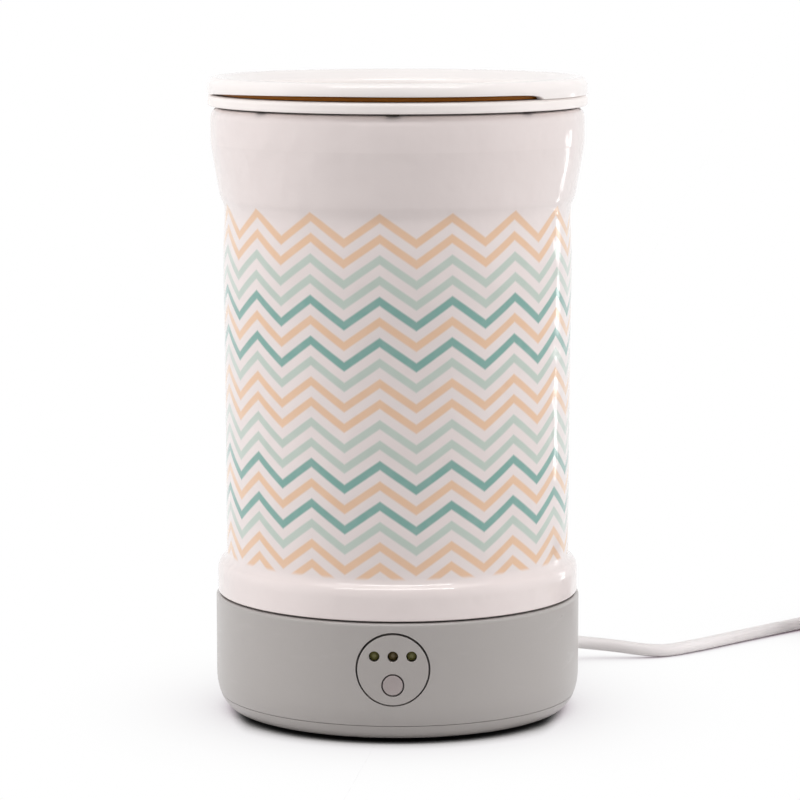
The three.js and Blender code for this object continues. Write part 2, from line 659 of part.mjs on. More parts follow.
const WALL_FOOT = CERAMIC_BOTTOM + FOOT_BAND_HEIGHT;
const bodyLine = new THREE.SplineCurve([
  [WAIST_R, WALL_FOOT + SHOULDER_HEIGHT + SHOULDER_BLEND],
  [(WAIST_R + BELLY_R) / 2, (WALL_FOOT + CERAMIC_TOP) / 2],
  [BELLY_R, CERAMIC_TOP - BELLY_BELOW_RIM],
  [NECK_R, CERAMIC_TOP - NECK_BELOW_RIM],
  [NECK_R + COLLAR_OUT, CERAMIC_TOP - COLLAR_BELOW_RIM],
  [FLARE_R, CERAMIC_TOP - FLARE_BELOW_RIM],
  [RIM_R, CERAMIC_TOP - RIM_BAND],
].map(([r, z]) => new THREE.Vector2(r, z)));
const bodyPoints = bodyLine.getPoints(BODY_STEPS).map((p) => [p.x, p.y]);
const boreLine = bodyPoints.filter((_, i) => i % 3 === 0).map(([r, z]) => [r - CERAMIC_WALL, z]);
const FLOOR_TOP = CERAMIC_BOTTOM + FOOT_RECESS + CERAMIC_FLOOR;
add('ceramic_body', turnedRing([
  [FOOT_RECESS_R, CERAMIC_BOTTOM],
  ...arc(
    [FOOT_BAND_R - FOOT_BAND_EDGE, CERAMIC_BOTTOM + FOOT_BAND_EDGE],
    [FOOT_BAND_EDGE, FOOT_BAND_EDGE], -90, 0, 1,
  ),
  ...arc([FOOT_BAND_R - SHOULDER_STEP, WALL_FOOT], [SHOULDER_STEP, SHOULDER_HEIGHT], 0, 90, 3),
  ...bodyPoints,
  ...arc([RIM_R - RIM_EDGE, CERAMIC_TOP - RIM_DROP], [RIM_EDGE, RIM_DROP], 0, 90, 2),
  [RIM_BORE_R, CERAMIC_TOP],
  ...boreLine.reverse(),
  [WAIST_R - CERAMIC_WALL, FLOOR_TOP + CERAMIC_WALL],
  [WAIST_R - 2 * CERAMIC_WALL, FLOOR_TOP],
  [TUBE_HOLE_R + FIT, FLOOR_TOP],
  [TUBE_HOLE_R + FIT, CERAMIC_BOTTOM + FOOT_RECESS],
  [FOOT_RECESS_R, CERAMIC_BOTTOM + FOOT_RECESS],
]), 0xf2efeb, 0.12, 0);

const seamRing = pipe(
  FOOT_BAND_R - SEAM_INSET, FOOT_RECESS_R + FIT, BASE_TOP + FIT / 2, CERAMIC_BOTTOM - FIT / 2, ROUND,
);
add('body_gasket', seamRing, 0x2b2926, 0.9, 0);

// Bezel ring: rests on the rim through a tabbed gasket, with a skirt and two bosses inside the body

const GASKET_OUTER_R = RIM_R - GASKET_INSET;
const GASKET_LOW = CERAMIC_TOP + FIT / 2;
const gasketRing = pipe(
  GASKET_OUTER_R, GASKET_OUTER_R - GASKET_WIDTH, GASKET_LOW, GASKET_LOW + GASKET, ROUND,
);
const gasketTabs = Array.from({ length: TAB_COUNT }, (_, i) => (
  block([GASKET_WIDTH / 2 + TAB_REACH, TAB_WIDTH, GASKET], 0, 0, GASKET_LOW)
    .translate(GASKET_OUTER_R + (TAB_REACH - GASKET_WIDTH / 2) / 2, 0, 0)
    .rotateZ((-90 + (360 * i) / TAB_COUNT) * DEGREE)
));
add('rim_gasket', join(gasketRing, ...gasketTabs), 0x2a2018, 0.85, 0);

const SKIRT_END = BEZEL_BOSS_TOP - BEZEL_WEB_HEIGHT;
const bezelTurning = turnedRing([
  [SKIRT_INNER_R, SKIRT_END],
  [SKIRT_OUTER_R, SKIRT_END],
  [SKIRT_OUTER_R, BEZEL_BOTTOM],
  ...arc([BEZEL_R - BEZEL_EDGE, BEZEL_BOTTOM + BEZEL_EDGE], [BEZEL_EDGE, BEZEL_EDGE], -90, 0, 2),
  ...arc([BEZEL_R - BEZEL_EDGE, BEZEL_TOP - BEZEL_EDGE], [BEZEL_EDGE, BEZEL_EDGE], 0, 90, 2),
  [SKIRT_INNER_R, BEZEL_TOP],
]);
const bezelBosses = [-1, 1].map((side) => join(
  rod(BEZEL_BOSS_R, BEZEL_BOSS_END, BEZEL_BOSS_TOP).translate(side * BEZEL_BOSS_CIRCLE_R, 0, 0),
  block(
    [SKIRT_INNER_R + SKIRT / 2 - BEZEL_BOSS_CIRCLE_R, BEZEL_WEB_WIDTH, BEZEL_WEB_HEIGHT],
    side * (SKIRT_INNER_R + SKIRT / 2 + BEZEL_BOSS_CIRCLE_R) / 2, 0, SKIRT_END,
  ),
));
const bossSides = [-BEZEL_BOSS_CIRCLE_R, BEZEL_BOSS_CIRCLE_R];
const bezelBores = bossSides.map((x) => (
  rod(SCREW_BORE_R, BEZEL_BOSS_END - OVERCUT, BEZEL_BOSS_END + SCREW_LENGTH).translate(x, 0, 0)
));
add('bezel_ring', cut(join(bezelTurning, ...bezelBosses), ...bezelBores), 0xf1eeea, 0.3, 0);

// Heated pan: hangs by a ledge on the bezel, with two bosses for the heater clamp under its floor

const PAN_BORE_R = PAN_R - PAN_WALL;
const LEDGE_UNDER = BEZEL_TOP + FIT / 2;
const PTC_TOP = PAN_UNDER - FIT;
const PTC_UNDER = PTC_TOP - PTC_SIZE[2];
const panTurning = turned([
  [0, PAN_UNDER],
  ...arc([PAN_R - PAN_CORNER, PAN_UNDER + PAN_CORNER], [PAN_CORNER, PAN_CORNER], -90, 0, 3),
  [PAN_R, LEDGE_UNDER],
  [PAN_R + PAN_LEDGE, LEDGE_UNDER],
  [PAN_R + PAN_LEDGE, PAN_TOP],
  [PAN_BORE_R, PAN_TOP],
  ...arc(
    [PAN_R - PAN_CORNER, PAN_UNDER + PAN_CORNER],
    [PAN_CORNER - PAN_WALL, PAN_CORNER - PAN_WALL], 0, -90, 3,
  ),
  [0, PAN_UNDER + PAN_WALL],
]);
const clampSides = [-PAN_BOSS_X, PAN_BOSS_X];
const panBosses = clampSides.map((x) => (
  rod(PAN_BOSS_R, PTC_UNDER, PAN_UNDER + PAN_WALL / 2).translate(x, 0, 0)
));
add('heater_pan', cut(
  join(panTurning, ...panBosses),
  ...clampSides.map((x) => rod(SCREW_BORE_R, PTC_UNDER - OVERCUT, PAN_UNDER).translate(x, 0, 0)),
), 0x66360e, 0.4, 0.5);

add('ptc_element', block(PTC_SIZE, 0, 0, PTC_UNDER), 0xc9c6bd, 0.6, 0);
const CLAMP_TOP = PTC_UNDER - FIT;
const CLAMP_UNDER = CLAMP_TOP - CLAMP_THICKNESS;
const CLAMP_LENGTH = 2 * (PAN_BOSS_X + PAN_BOSS_R);
add('ptc_clamp', cut(
  block([CLAMP_LENGTH, CLAMP_WIDTH, CLAMP_THICKNESS], 0, 0, CLAMP_UNDER),
  ...clampSides.map((x) => rod(SCREW_BORE_R, CLAMP_UNDER - OVERCUT, CLAMP_TOP + OVERCUT).translate(x, 0, 0)),
), 0xb8bbc0, 0.35, 1);
const CLAMP_SCREW_LENGTH = CLAMP_THICKNESS + 2 * FIT + PTC_SIZE[2] - SCREW_TIP_GAP;
clampSides.forEach((x, i) => {
  const place = [x, 0, CLAMP_UNDER - FIT];
  add(`clamp_screw_${i + 1}`, screw(CLAMP_SCREW_LENGTH).translate(...place), 0x8d8f92, 0.35, 1);
});
const FUSE_Y = PTC_SIZE[1] / 2 + FUSE_R + FUSE_GAP;
const FUSE_Z = PAN_UNDER - FIT - FUSE_R;
const fuse = rod(FUSE_R, -FUSE_LENGTH / 2, FUSE_LENGTH / 2).rotateY(Math.PI / 2);
add('thermal_fuse', fuse.translate(0, FUSE_Y, FUSE_Z), 0xd8d4c8, 0.5, 0);

// Tie tube, bracket and nuts

const bracketHoles = bossSides.map((x) => (
  rod(SCREW_BORE_R, BRACKET_UNDER - OVERCUT, BRACKET_TOP + OVERCUT).translate(x, 0, 0)
));
add('heater_bracket', cut(
  block(
    [2 * (BEZEL_BOSS_CIRCLE_R + BEZEL_BOSS_R), BRACKET_WIDTH, BRACKET_THICKNESS],
    0, 0, BRACKET_UNDER,
  ),
  rod(TUBE_HOLE_R, BRACKET_UNDER - OVERCUT, BRACKET_TOP + OVERCUT),
  ...bracketHoles,
), 0xb8bbc0, 0.4, 1);
bossSides.forEach((x, i) => {
  const place = [x, 0, BRACKET_UNDER - FIT];
  add(`bracket_screw_${i + 1}`, screw().translate(...place), 0x8d8f92, 0.35, 1);
});
const TOP_NUT_LOW = BRACKET_TOP + WASHER + 2 * FIT;
const BOTTOM_NUT_HIGH = DECK_UNDER - WASHER - 2 * FIT;
const TUBE_LOW = BOTTOM_NUT_HIGH - NUT_HEIGHT - TUBE_PROUD;
const TUBE_HIGH = TOP_NUT_LOW + NUT_HEIGHT + TUBE_PROUD;
add('tie_tube', pipe(TUBE_R, TUBE_BORE_R, TUBE_LOW, TUBE_HIGH), 0xc8b16a, 0.35, 1);
[['top_washer', BRACKET_TOP + FIT], ['bottom_washer', DECK_UNDER - FIT - WASHER]].forEach(([name, low]) => {
  add(name, pipe(WASHER_R, TUBE_HOLE_R, low, low + WASHER), 0xb8bbc0, 0.35, 1);
});
[['top_nut', TOP_NUT_LOW], ['bottom_nut', BOTTOM_NUT_HIGH - NUT_HEIGHT]].forEach(([name, low]) => {
  const bore = rod(TUBE_HOLE_R, low - OVERCUT, low + NUT_HEIGHT + OVERCUT);
  const nut = cut(rod(NUT_R, low, low + NUT_HEIGHT, 6), bore);
  add(name, nut, 0xc8b16a, 0.35, 1);
});

// Leads: from the terminal block up the tie tube, one to the heater and one to the fuse

const TERMINAL_FACE = TERMINAL_Y - TERMINAL_SIZE[1] / 2 - FIT;
const TERMINAL_MID = PART_SEAT + TERMINAL_SIZE[2] / 2;
const LEAD_TURN_Z = (TUBE_HIGH + CLAMP_UNDER - SCREW_HEAD) / 2;
const leadUp = (x, terminalX) => [
  [terminalX, TERMINAL_FACE, TERMINAL_MID],
  [terminalX, TERMINAL_FACE - 5, TERMINAL_MID],
  [(terminalX + x) / 2, TERMINAL_FACE / 3, TERMINAL_MID + 1.5],
  [x, 1, TUBE_LOW - 6],
  [x, 0, TUBE_LOW - 2],
  [x, 0, TUBE_LOW + 12],
  [x, 0, (TUBE_LOW + TUBE_HIGH) / 2],
  [x, 0, TUBE_HIGH - 10],
  [x, 0, TUBE_HIGH + 0.4],
];
const HEATER_Y = PTC_SIZE[1] / 2 + LEAD_R + 2 * FIT;
const heaterLead = tube([
  ...leadUp(-LEAD_SPREAD, TERMINAL_X - 4),
  [-LEAD_SPREAD, -2.5, LEAD_TURN_Z],
  [-LEAD_SPREAD, -HEATER_Y + 2, LEAD_TURN_Z + 0.6],
  [-LEAD_SPREAD, -HEATER_Y, LEAD_TURN_Z + 4],
  [-LEAD_SPREAD, -HEATER_Y, PTC_TOP - 2],
], LEAD_R, LEAD_SIDES, HEATER_LEAD_STEPS);
add('heater_lead_1', heaterLead, 0xb03a2e, 0.5, 0);
const fuseLead = tube([
  ...leadUp(LEAD_SPREAD, TERMINAL_X),
  [LEAD_SPREAD, 2.5, LEAD_TURN_Z],
  [LEAD_SPREAD + 2.5, FUSE_Y / 2 + 1, LEAD_TURN_Z + 0.4],
  [FUSE_LENGTH / 2 + 4.5, FUSE_Y - 2, LEAD_TURN_Z + 1.6],
  [FUSE_LENGTH / 2 + 5, FUSE_Y, FUSE_Z - 1.5],
  [FUSE_LENGTH / 2 + 2.5, FUSE_Y, FUSE_Z],
  [FUSE_LENGTH / 2 + FIT, FUSE_Y, FUSE_Z],
], LEAD_R, LEAD_SIDES, FUSE_LEAD_STEPS);
add('heater_lead_2', fuseLead, 0x2c3e70, 0.5, 0);

// Wax dish: a bowl in the pan, a round lip, and two lands cut away as finger scoops

const BOWL_R = PAN_BORE_R - 2 * FIT;
const BOWL_UNDER = PAN_UNDER + PAN_WALL + FIT;
const BOWL_FLOOR = BOWL_UNDER + DISH_WALL;
const LIP_INNER_R = DISH_R - DISH_LIP_WIDTH;
const LAND_INNER_R = DISH_R - DISH_LAND_WIDTH;
const dishTurning = turned([
  [0, BOWL_UNDER],
  ...arc([BOWL_R - BOWL_CORNER, BOWL_UNDER + BOWL_CORNER], [BOWL_CORNER, BOWL_CORNER], -90, 0, 4),
  [BOWL_R, DISH_RIM_UNDER],
  [LAND_INNER_R, DISH_RIM_UNDER],
  [LAND_INNER_R, DISH_SEAT],
  [DISH_R, DISH_SEAT],
  ...arc([DISH_R - DISH_LIP_R, DISH_TOP - DISH_LIP_R], [DISH_LIP_R, DISH_LIP_R], 0, 90, 4),
  [LIP_INNER_R, DISH_TOP - DISH_LIP_R / 3],
  [BOWL_R - DISH_WALL, DISH_RIM_UNDER + DISH_SHOULDER],
  ...arc(
    [BOWL_R - BOWL_CORNER, BOWL_UNDER + BOWL_CORNER],
    [BOWL_CORNER - DISH_WALL, BOWL_CORNER - DISH_WALL], 0, -90, 4,
  ),
  [0, BOWL_FLOOR],
]);

// The scoop is tallest in its middle, falls off a little to its sides and ends in short round corners.
function scoop(azimuth) {
  const corners = [];
  const faces = [];
  for (let i = 0; i <= SCOOP_STEPS; i += 1) {
    const u = (2 * i) / SCOOP_STEPS - 1;
    const corner = Math.min(1, Math.sqrt(1 + SCOOP_END - u ** SCOOP_SQUARENESS));
    const height = DISH_LAND * (1 - SCOOP_ARCH * u * u) * corner;
    const [x, y] = around(1, azimuth + u * SCOOP_HALF_ANGLE);
    const inner = LAND_INNER_R - OVERCUT / 2;
    const outer = DISH_R + OVERCUT;
    [[inner, -OVERCUT], [outer, -OVERCUT], [outer, height], [inner, height]].forEach(([radius, up]) => {
      corners.push(radius * x, radius * y, DISH_SEAT + up);
    });
    for (let k = 0; k < 4 && i > 0; k += 1) {
      const [a, b] = [4 * i + k, 4 * i + ((k + 1) % 4)];
      faces.push(a - 4, b - 4, b, a - 4, b, a);
    }
  }
  const last = 4 * SCOOP_STEPS;
  faces.push(0, 2, 1, 0, 3, 2, last, last + 1, last + 2, last, last + 2, last + 3);
  const geometry = new THREE.BufferGeometry();
  geometry.setAttribute('position', new THREE.BufferAttribute(new Float32Array(corners), 3));
  geometry.setIndex(faces);
  return geometry;
}

add('wax_dish', cut(dishTurning, ...SCOOP_AZIMUTHS.map(scoop)), 0xf4f1ed, 0.2, 0);

// Strain relief: a bush gripped by the wall, with a ribbed taper outside

const ribs = [];
for (let i = 1; i <= RELIEF_RIBS; i += 1) {
  const along = RELIEF_FLANGE + ((RELIEF_LENGTH - RELIEF_FLANGE) * i) / (RELIEF_RIBS + 1);
  const share = (along - RELIEF_FLANGE) / (RELIEF_LENGTH - RELIEF_FLANGE);
  const radius = RELIEF_ROOT_R + (RELIEF_TIP_R - RELIEF_ROOT_R) * share;
  const edge = RELIEF_GROOVE_HALF + RELIEF_GROOVE_SLOPE;
  ribs.push([radius, along - edge], [radius - RELIEF_GROOVE, along - RELIEF_GROOVE_HALF]);
  ribs.push([radius - RELIEF_GROOVE, along + RELIEF_GROOVE_HALF], [radius, along + edge]);
}
const FLANGE_TILT = RELIEF_FLANGE_R * Math.tan(CORD_DROOP * DEGREE);
const BUSH_OUT = FIT + RELIEF_FLANGE_R ** 2 / (2 * BASE_R) + FLANGE_TILT;
const BUSH_IN = -BASE_WALL - 2 * FIT - FLANGE_TILT;
lamp.add(relief);
add('strain_relief', turned([
  [0, BUSH_IN - RELIEF_FLANGE],
  [RELIEF_FLANGE_R, BUSH_IN - RELIEF_FLANGE],
  [RELIEF_FLANGE_R, BUSH_IN],
  [RELIEF_NECK_R, BUSH_IN],
  [RELIEF_NECK_R, BUSH_OUT],
  [RELIEF_FLANGE_R, BUSH_OUT],
  [RELIEF_FLANGE_R, BUSH_OUT + RELIEF_FLANGE / 2],
  [RELIEF_ROOT_R, BUSH_OUT + RELIEF_FLANGE],
  ...ribs.map(([r, s]) => [r, s + BUSH_OUT]),
  [RELIEF_TIP_R, BUSH_OUT + RELIEF_LENGTH],
  [0, BUSH_OUT + RELIEF_LENGTH],
], SMALL_ROUND), 0xf3f1ee, 0.5, 0, relief);

const alongRelief = (s) => new THREE.Vector3(0, 0, s).applyMatrix4(relief.matrix).toArray();
const TERMINAL_SIDE = TERMINAL_X + TERMINAL_SIZE[0] / 2 + FIT;
const innerLead = tube([
  alongRelief(BUSH_IN - RELIEF_FLANGE - FIT),
  alongRelief(BUSH_IN - RELIEF_FLANGE - 5),
  [TERMINAL_SIDE + 4, TERMINAL_Y, TERMINAL_MID],
  [TERMINAL_SIDE, TERMINAL_Y, TERMINAL_MID],
], INNER_CORD_R, 8, INNER_CORD_STEPS);
add('mains_lead', innerLead, 0xf3f1ee, 0.5, 0);

// Cord: from the strain relief, down to the table and out to the coil

const COIL_OUTER_R = COIL_INNER_R + COIL_PITCH * COIL_LAYER_TURNS;
const COIL_LOW = TIE_THICKNESS + FIT + CORD_R;
const coilStart = [COIL_CENTRE[0] - 2 * CORD_R - FIT, COIL_CENTRE[1] + COIL_OUTER_R, COIL_LOW];
const cordPoints = [
  alongRelief(BUSH_OUT + RELIEF_LENGTH + FIT),
  alongRelief(BUSH_OUT + RELIEF_LENGTH + 3),
  [50.5, 66.6, 6.7],
  [55.3, 68.6, 5.5],
  [61.2, 69.6, 4.7],
  [69, 69.9, 3.8],
  [76, 70.3, 2.8],
  [82.9, 72.2, 2.05],
  [92, 78.8, 2.05],
  [103, 89.6, 2.05],
  [114, 100.7, 2.05],
  [124.3, 111, 2.05],
  [133, 119.6, 2.05],
  [140.5, 127, 2.2],
  [147.5, 133.2, 2.5],
  [154, coilStart[1] - 0.9, COIL_LOW - 0.1],
  [coilStart[0] - 2 * CORD_R, coilStart[1], COIL_LOW],
  coilStart,
];
add('cord', tube(cordPoints, CORD_R, CORD_SIDES, CORD_STEPS), 0xf5f4f2, 0.45, 0);

// Coil: one tube that spirals in and out, layer over layer, and climbs in the half turns between

function coilPath() {
  const path = [];
  let travelled = 0;
  const place = (turns, radius, z) => {
    const [x, y] = around(radius, 90 - 360 * turns);
    path.push(new THREE.Vector3(COIL_CENTRE[0] + x, COIL_CENTRE[1] + y, z));
  };
  for (let layer = 0; layer < COIL_LAYERS; layer += 1) {
    const inwards = layer % 2 === 0;
    const z = COIL_LOW + layer * COIL_LAYER;
    const spiralSteps = Math.round(COIL_LAYER_TURNS * COIL_LOOP_STEPS);
    for (let i = layer === 0 ? 0 : 1; i <= spiralSteps; i += 1) {
      const share = i / spiralSteps;
      const radius = COIL_INNER_R + COIL_PITCH * COIL_LAYER_TURNS * (inwards ? 1 - share : share);
      place(travelled + share * COIL_LAYER_TURNS, radius, z);
    }
    travelled += COIL_LAYER_TURNS;
    if (layer < COIL_LAYERS - 1) {
      const climbSteps = COIL_CLIMB_TURNS * COIL_LOOP_STEPS;
      for (let i = 1; i <= climbSteps; i += 1) {
        const radius = inwards ? COIL_INNER_R : COIL_OUTER_R;
        const share = i / climbSteps;
        place(travelled + COIL_CLIMB_TURNS * share, radius, z + COIL_LAYER * share);
      }
      travelled += COIL_CLIMB_TURNS;
    }
  }
  const straight = new THREE.Vector3(2 * CORD_R, 0, 0);
  path.unshift(path[0].clone().sub(straight));
  path.push(path[path.length - 1].clone().add(straight));
  return path;
}

function coilTube(path) {
  const corners = [];
  const faces = [];
  const up = new THREE.Vector3(0, 0, 1);
  path.forEach((point, i) => {
    const ahead = path[Math.min(i + 1, path.length - 1)];
    const tangent = ahead.clone().sub(path[Math.max(i - 1, 0)]).normalize();
    const side = tangent.clone().cross(up).normalize();
    const rise = side.clone().cross(tangent);
    for (let k = 0; k < COIL_SIDES; k += 1) {
      const [s, r] = around(CORD_R, (360 * k) / COIL_SIDES);
      corners.push(...point.clone().addScaledVector(side, s).addScaledVector(rise, r).toArray());
      const next = (k + 1) % COIL_SIDES;
      const [a, b] = [COIL_SIDES * i + k, COIL_SIDES * i + next];
      if (i > 0) {
        faces.push(a - COIL_SIDES, b - COIL_SIDES, b, a - COIL_SIDES, b, a);
      }
    }
  });
  const last = COIL_SIDES * (path.length - 1);
  for (let k = 1; k < COIL_SIDES - 1; k += 1) {
    faces.push(0, k + 1, k, last, last + k, last + k + 1);
  }
  const geometry = new THREE.BufferGeometry();
  geometry.setAttribute('position', new THREE.BufferAttribute(new Float32Array(corners), 3));
  geometry.setIndex(faces);
  return geometry;
}

// Least gap between turns, measured between points more than half a loop apart along the cord.
function leastGap(path) {
  let least = Infinity;
  for (let i = 0; i < path.length; i += 1) {
    for (let k = i + COIL_LOOP_STEPS / 2; k < path.length; k += 1) {
      least = Math.min(least, path[i].distanceTo(path[k]) - 2 * CORD_R);
    }
  }
  return least;
}

const coil = coilPath();
console.log(`least gap between the coil's turns: ${leastGap(coil).toFixed(2)} mm`);
add('cord_coil', coilTube(coil), 0xf5f4f2, 0.45, 0);

// Tie: a closed band round all the turns, on the coil's far side from the lamp
const TIE_IN = Math.sqrt((COIL_INNER_R - CORD_R) ** 2 - (TIE_WIDTH / 2) ** 2) - 2 * FIT;
const TIE_OUT = COIL_OUTER_R + CORD_R + FIT;
const TIE_HIGH = COIL_LOW + (COIL_LAYERS - 1) * COIL_LAYER + CORD_R + FIT;
const band = cut(
  block(
    [TIE_OUT - TIE_IN + 2 * TIE_THICKNESS, TIE_WIDTH, TIE_HIGH + TIE_THICKNESS],
    (TIE_OUT + TIE_IN) / 2, 0, 0,
  ),
  block(
    [TIE_OUT - TIE_IN, 2 * TIE_WIDTH, TIE_HIGH - TIE_THICKNESS],
    (TIE_OUT + TIE_IN) / 2, 0, TIE_THICKNESS,
  ),
);
add('coil_tie', band.rotateZ(TIE_AZIMUTH * DEGREE).translate(...COIL_CENTRE, 0), 0x2c2c2e, 0.7, 0);

// Tail of the cord from the top of the coil down to the plug

const coilEnd = coil[coil.length - 1].toArray();
const PLUG_AXIS_Z = PLUG_HEIGHT / 2 + PLUG_LIFT;
const PLUG_X = COIL_CENTRE[0] + PLUG_ASIDE;
const PLUG_REAR_Y = COIL_CENTRE[1] + PLUG_BEHIND;
const tailPoints = [
  [coilEnd[0] + FIT, coilEnd[1], coilEnd[2]],
  [coilEnd[0] + 6, coilEnd[1], coilEnd[2] - 0.4],
  [coilEnd[0] + 15, coilEnd[1] - 0.6, coilEnd[2] - 2.4],
  [PLUG_X - 9, coilEnd[1] - 4.6, coilEnd[2] - 4.8],
  [PLUG_X - 2.4, coilEnd[1] - 11.5, coilEnd[2] - 7.2],
  [PLUG_X, PLUG_REAR_Y + 5, PLUG_AXIS_Z + 0.5],
  [PLUG_X, PLUG_REAR_Y + FIT, PLUG_AXIS_Z],
];
add('cord_tail', tube(tailPoints, CORD_R, CORD_SIDES, TAIL_STEPS), 0xf5f4f2, 0.45, 0);

// Plug: a flat tapered body with a ribbed neck and two round pins, pointing along -Y

const plug = new THREE.Group();
plug.position.set(PLUG_X, PLUG_REAR_Y, PLUG_AXIS_Z);
plug.rotation.x = Math.PI / 2;
lamp.add(plug);
const PLUG_FACE = PLUG_NECK_LENGTH + PLUG_LENGTH;
const HIP = PLUG_NECK_LENGTH + PLUG_HIP;
const shoulder = (side) => [
  side * PLUG_NECK_R, PLUG_NECK_LENGTH + PLUG_HIP / 2,
  (side * PLUG_WIDTH) / 2, PLUG_NECK_LENGTH + PLUG_HIP / 2,
];
const plugPlan = new THREE.Shape();
plugPlan.moveTo(-PLUG_NECK_R, PLUG_NECK_LENGTH);
plugPlan.bezierCurveTo(...shoulder(-1), -PLUG_WIDTH / 2, HIP);
plugPlan.lineTo(-PLUG_WIDTH / 2, PLUG_FACE - PLUG_CORNER);
plugPlan.lineTo(-PLUG_WIDTH / 2 + PLUG_CORNER, PLUG_FACE);
plugPlan.lineTo(PLUG_WIDTH / 2 - PLUG_CORNER, PLUG_FACE);
plugPlan.lineTo(PLUG_WIDTH / 2, PLUG_FACE - PLUG_CORNER);
plugPlan.lineTo(PLUG_WIDTH / 2, HIP);
const [nearX, nearS, farX, farS] = shoulder(1);
plugPlan.bezierCurveTo(farX, farS, nearX, nearS, PLUG_NECK_R, PLUG_NECK_LENGTH);
const plugSlab = new THREE.ExtrudeGeometry(plugPlan, {
  depth: PLUG_HEIGHT, bevelEnabled: false, curveSegments: 5,
}).rotateX(Math.PI / 2).translate(0, PLUG_HEIGHT / 2, 0);
const plugNeck = turned([
  [0, 0],
  [CORD_R + PLUG_NECK_TIP, 0],
  [PLUG_NECK_R, PLUG_NECK_LENGTH],
  [PLUG_NECK_R, PLUG_NECK_LENGTH + PLUG_NECK_ROOT],
  [0, PLUG_NECK_LENGTH + PLUG_NECK_ROOT],
], SMALL_ROUND);
const pinSides = [-PIN_SPACING / 2, PIN_SPACING / 2];
add('plug_body', cut(
  join(plugSlab, plugNeck),
  ...pinSides.map((x) => rod(PIN_R + FIT, PLUG_FACE - PIN_SEAT, PLUG_FACE + OVERCUT).translate(x, 0, 0)),
), 0xf3f1ee, 0.5, 0, plug);
pinSides.forEach((x, i) => {
  const pin = turned([
    [0, PLUG_FACE - PIN_SEAT + FIT],
    [PIN_R, PLUG_FACE - PIN_SEAT + FIT],
    ...arc([0, PLUG_FACE + PIN_LENGTH - PIN_R], [PIN_R, PIN_R], 0, 90, PIN_TIP_STEPS),
  ], SMALL_ROUND);
  add(`plug_pin_${i + 1}`, pin.translate(x, 0, 0), 0xd9c48a, 0.25, 1, plug);
});

export default lamp;
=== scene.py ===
# Electric aroma lamp on a white table, seen a little from above.
# Metres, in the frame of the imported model: +Z is up and the control panel faces -Y.
import math

import bmesh
import bpy
from mathutils import Matrix, Vector


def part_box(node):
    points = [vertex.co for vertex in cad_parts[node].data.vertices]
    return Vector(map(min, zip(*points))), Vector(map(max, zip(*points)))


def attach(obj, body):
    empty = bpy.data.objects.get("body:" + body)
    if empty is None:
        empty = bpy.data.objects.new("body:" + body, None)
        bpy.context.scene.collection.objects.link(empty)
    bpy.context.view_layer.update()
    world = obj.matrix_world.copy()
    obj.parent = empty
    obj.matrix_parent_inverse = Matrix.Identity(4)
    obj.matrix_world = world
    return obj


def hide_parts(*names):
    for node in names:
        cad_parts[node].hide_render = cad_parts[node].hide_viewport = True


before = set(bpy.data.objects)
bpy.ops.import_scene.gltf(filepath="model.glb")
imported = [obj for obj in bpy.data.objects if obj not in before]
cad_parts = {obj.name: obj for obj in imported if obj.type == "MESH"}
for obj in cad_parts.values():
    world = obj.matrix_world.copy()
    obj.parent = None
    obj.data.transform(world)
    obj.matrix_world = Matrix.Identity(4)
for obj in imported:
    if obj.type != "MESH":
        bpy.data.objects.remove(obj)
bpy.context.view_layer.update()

# Table
# A wide white table top, which also runs on as the background.
# It shows plain white, with a painted shadow close to what stands on it: black in the tightest places, and
# a faint lilac a little further out.


class Signal:
    """What a node gives out. Arithmetic on it adds Math nodes to the same material."""

    def __init__(self, tree, socket):
        self.tree = tree
        self.socket = socket

    def node(self, kind, settings=None, sockets=None, out=0):
        """Adds a node: its settings first, then the values or links of its sockets."""
        made = self.tree.nodes.new(kind)
        for name, value in (settings or {}).items():
            if name == "stops":
                while len(made.color_ramp.elements) < len(value):
                    made.color_ramp.elements.new(0.5)
                for stop, (position, colour) in zip(made.color_ramp.elements, value):
                    stop.position = position
                    stop.color = colour
            elif name == "blending":
                made.color_ramp.interpolation = value
            else:
                setattr(made, name, value)
        for name, value in (sockets or {}).items():
            if isinstance(value, Signal):
                self.tree.links.new(value.socket, made.inputs[name])
            else:
                made.inputs[name].default_value = value
        return Signal(self.tree, made.outputs[out]) if made.outputs else made

    def maths(self, operation, *values):
        return self.node("ShaderNodeMath", {"operation": operation}, dict(enumerate(values)))

    def __add__(self, other):
        return self.maths("ADD", self, other)

    __radd__ = __add__

    def __sub__(self, other):
        return self.maths("SUBTRACT", self, other)

    def __rsub__(self, other):
        return self.maths("SUBTRACT", other, self)

    def __mul__(self, other):
        return self.maths("MULTIPLY", self, other)

    __rmul__ = __mul__

    def __truediv__(self, other):
        return self.maths("DIVIDE", self, other)

    def __abs__(self):
        return self.maths("ABSOLUTE", self)


def new_material(name):
    """An empty material, and where each point of its surface lies, in metres."""
    material = bpy.data.materials.new(name)
    material.use_nodes = True
    material.node_tree.nodes.clear()
    coordinates = material.node_tree.nodes.new("ShaderNodeTexCoord")
    return material, Signal(material.node_tree, coordinates.outputs["Object"])


def seen(start):
    """1 for rays that show the background straight, in a reflection or through glass."""
    straight, mirrored, through = [
        start.node("ShaderNodeLightPath", out=name)
        for name in ("Is Camera Ray", "Is Glossy Ray", "Is Transmission Ray")
    ]
    return straight.maths("MAXIMUM", straight.maths("MAXIMUM", straight, mirrored), through)


def rising(value, low, high):
    """A soft step: 0 below low, 1 above high."""
    return value.node(
        "ShaderNodeMapRange", {"interpolation_type": "SMOOTHSTEP"},
        {"Value": value, "From Min": low, "From Max": high},
    )


def mixed(share, first, second):
    return share.node("ShaderNodeMix", {"data_type": "RGBA"}, {0: share, 6: first, 7: second}, out=2)


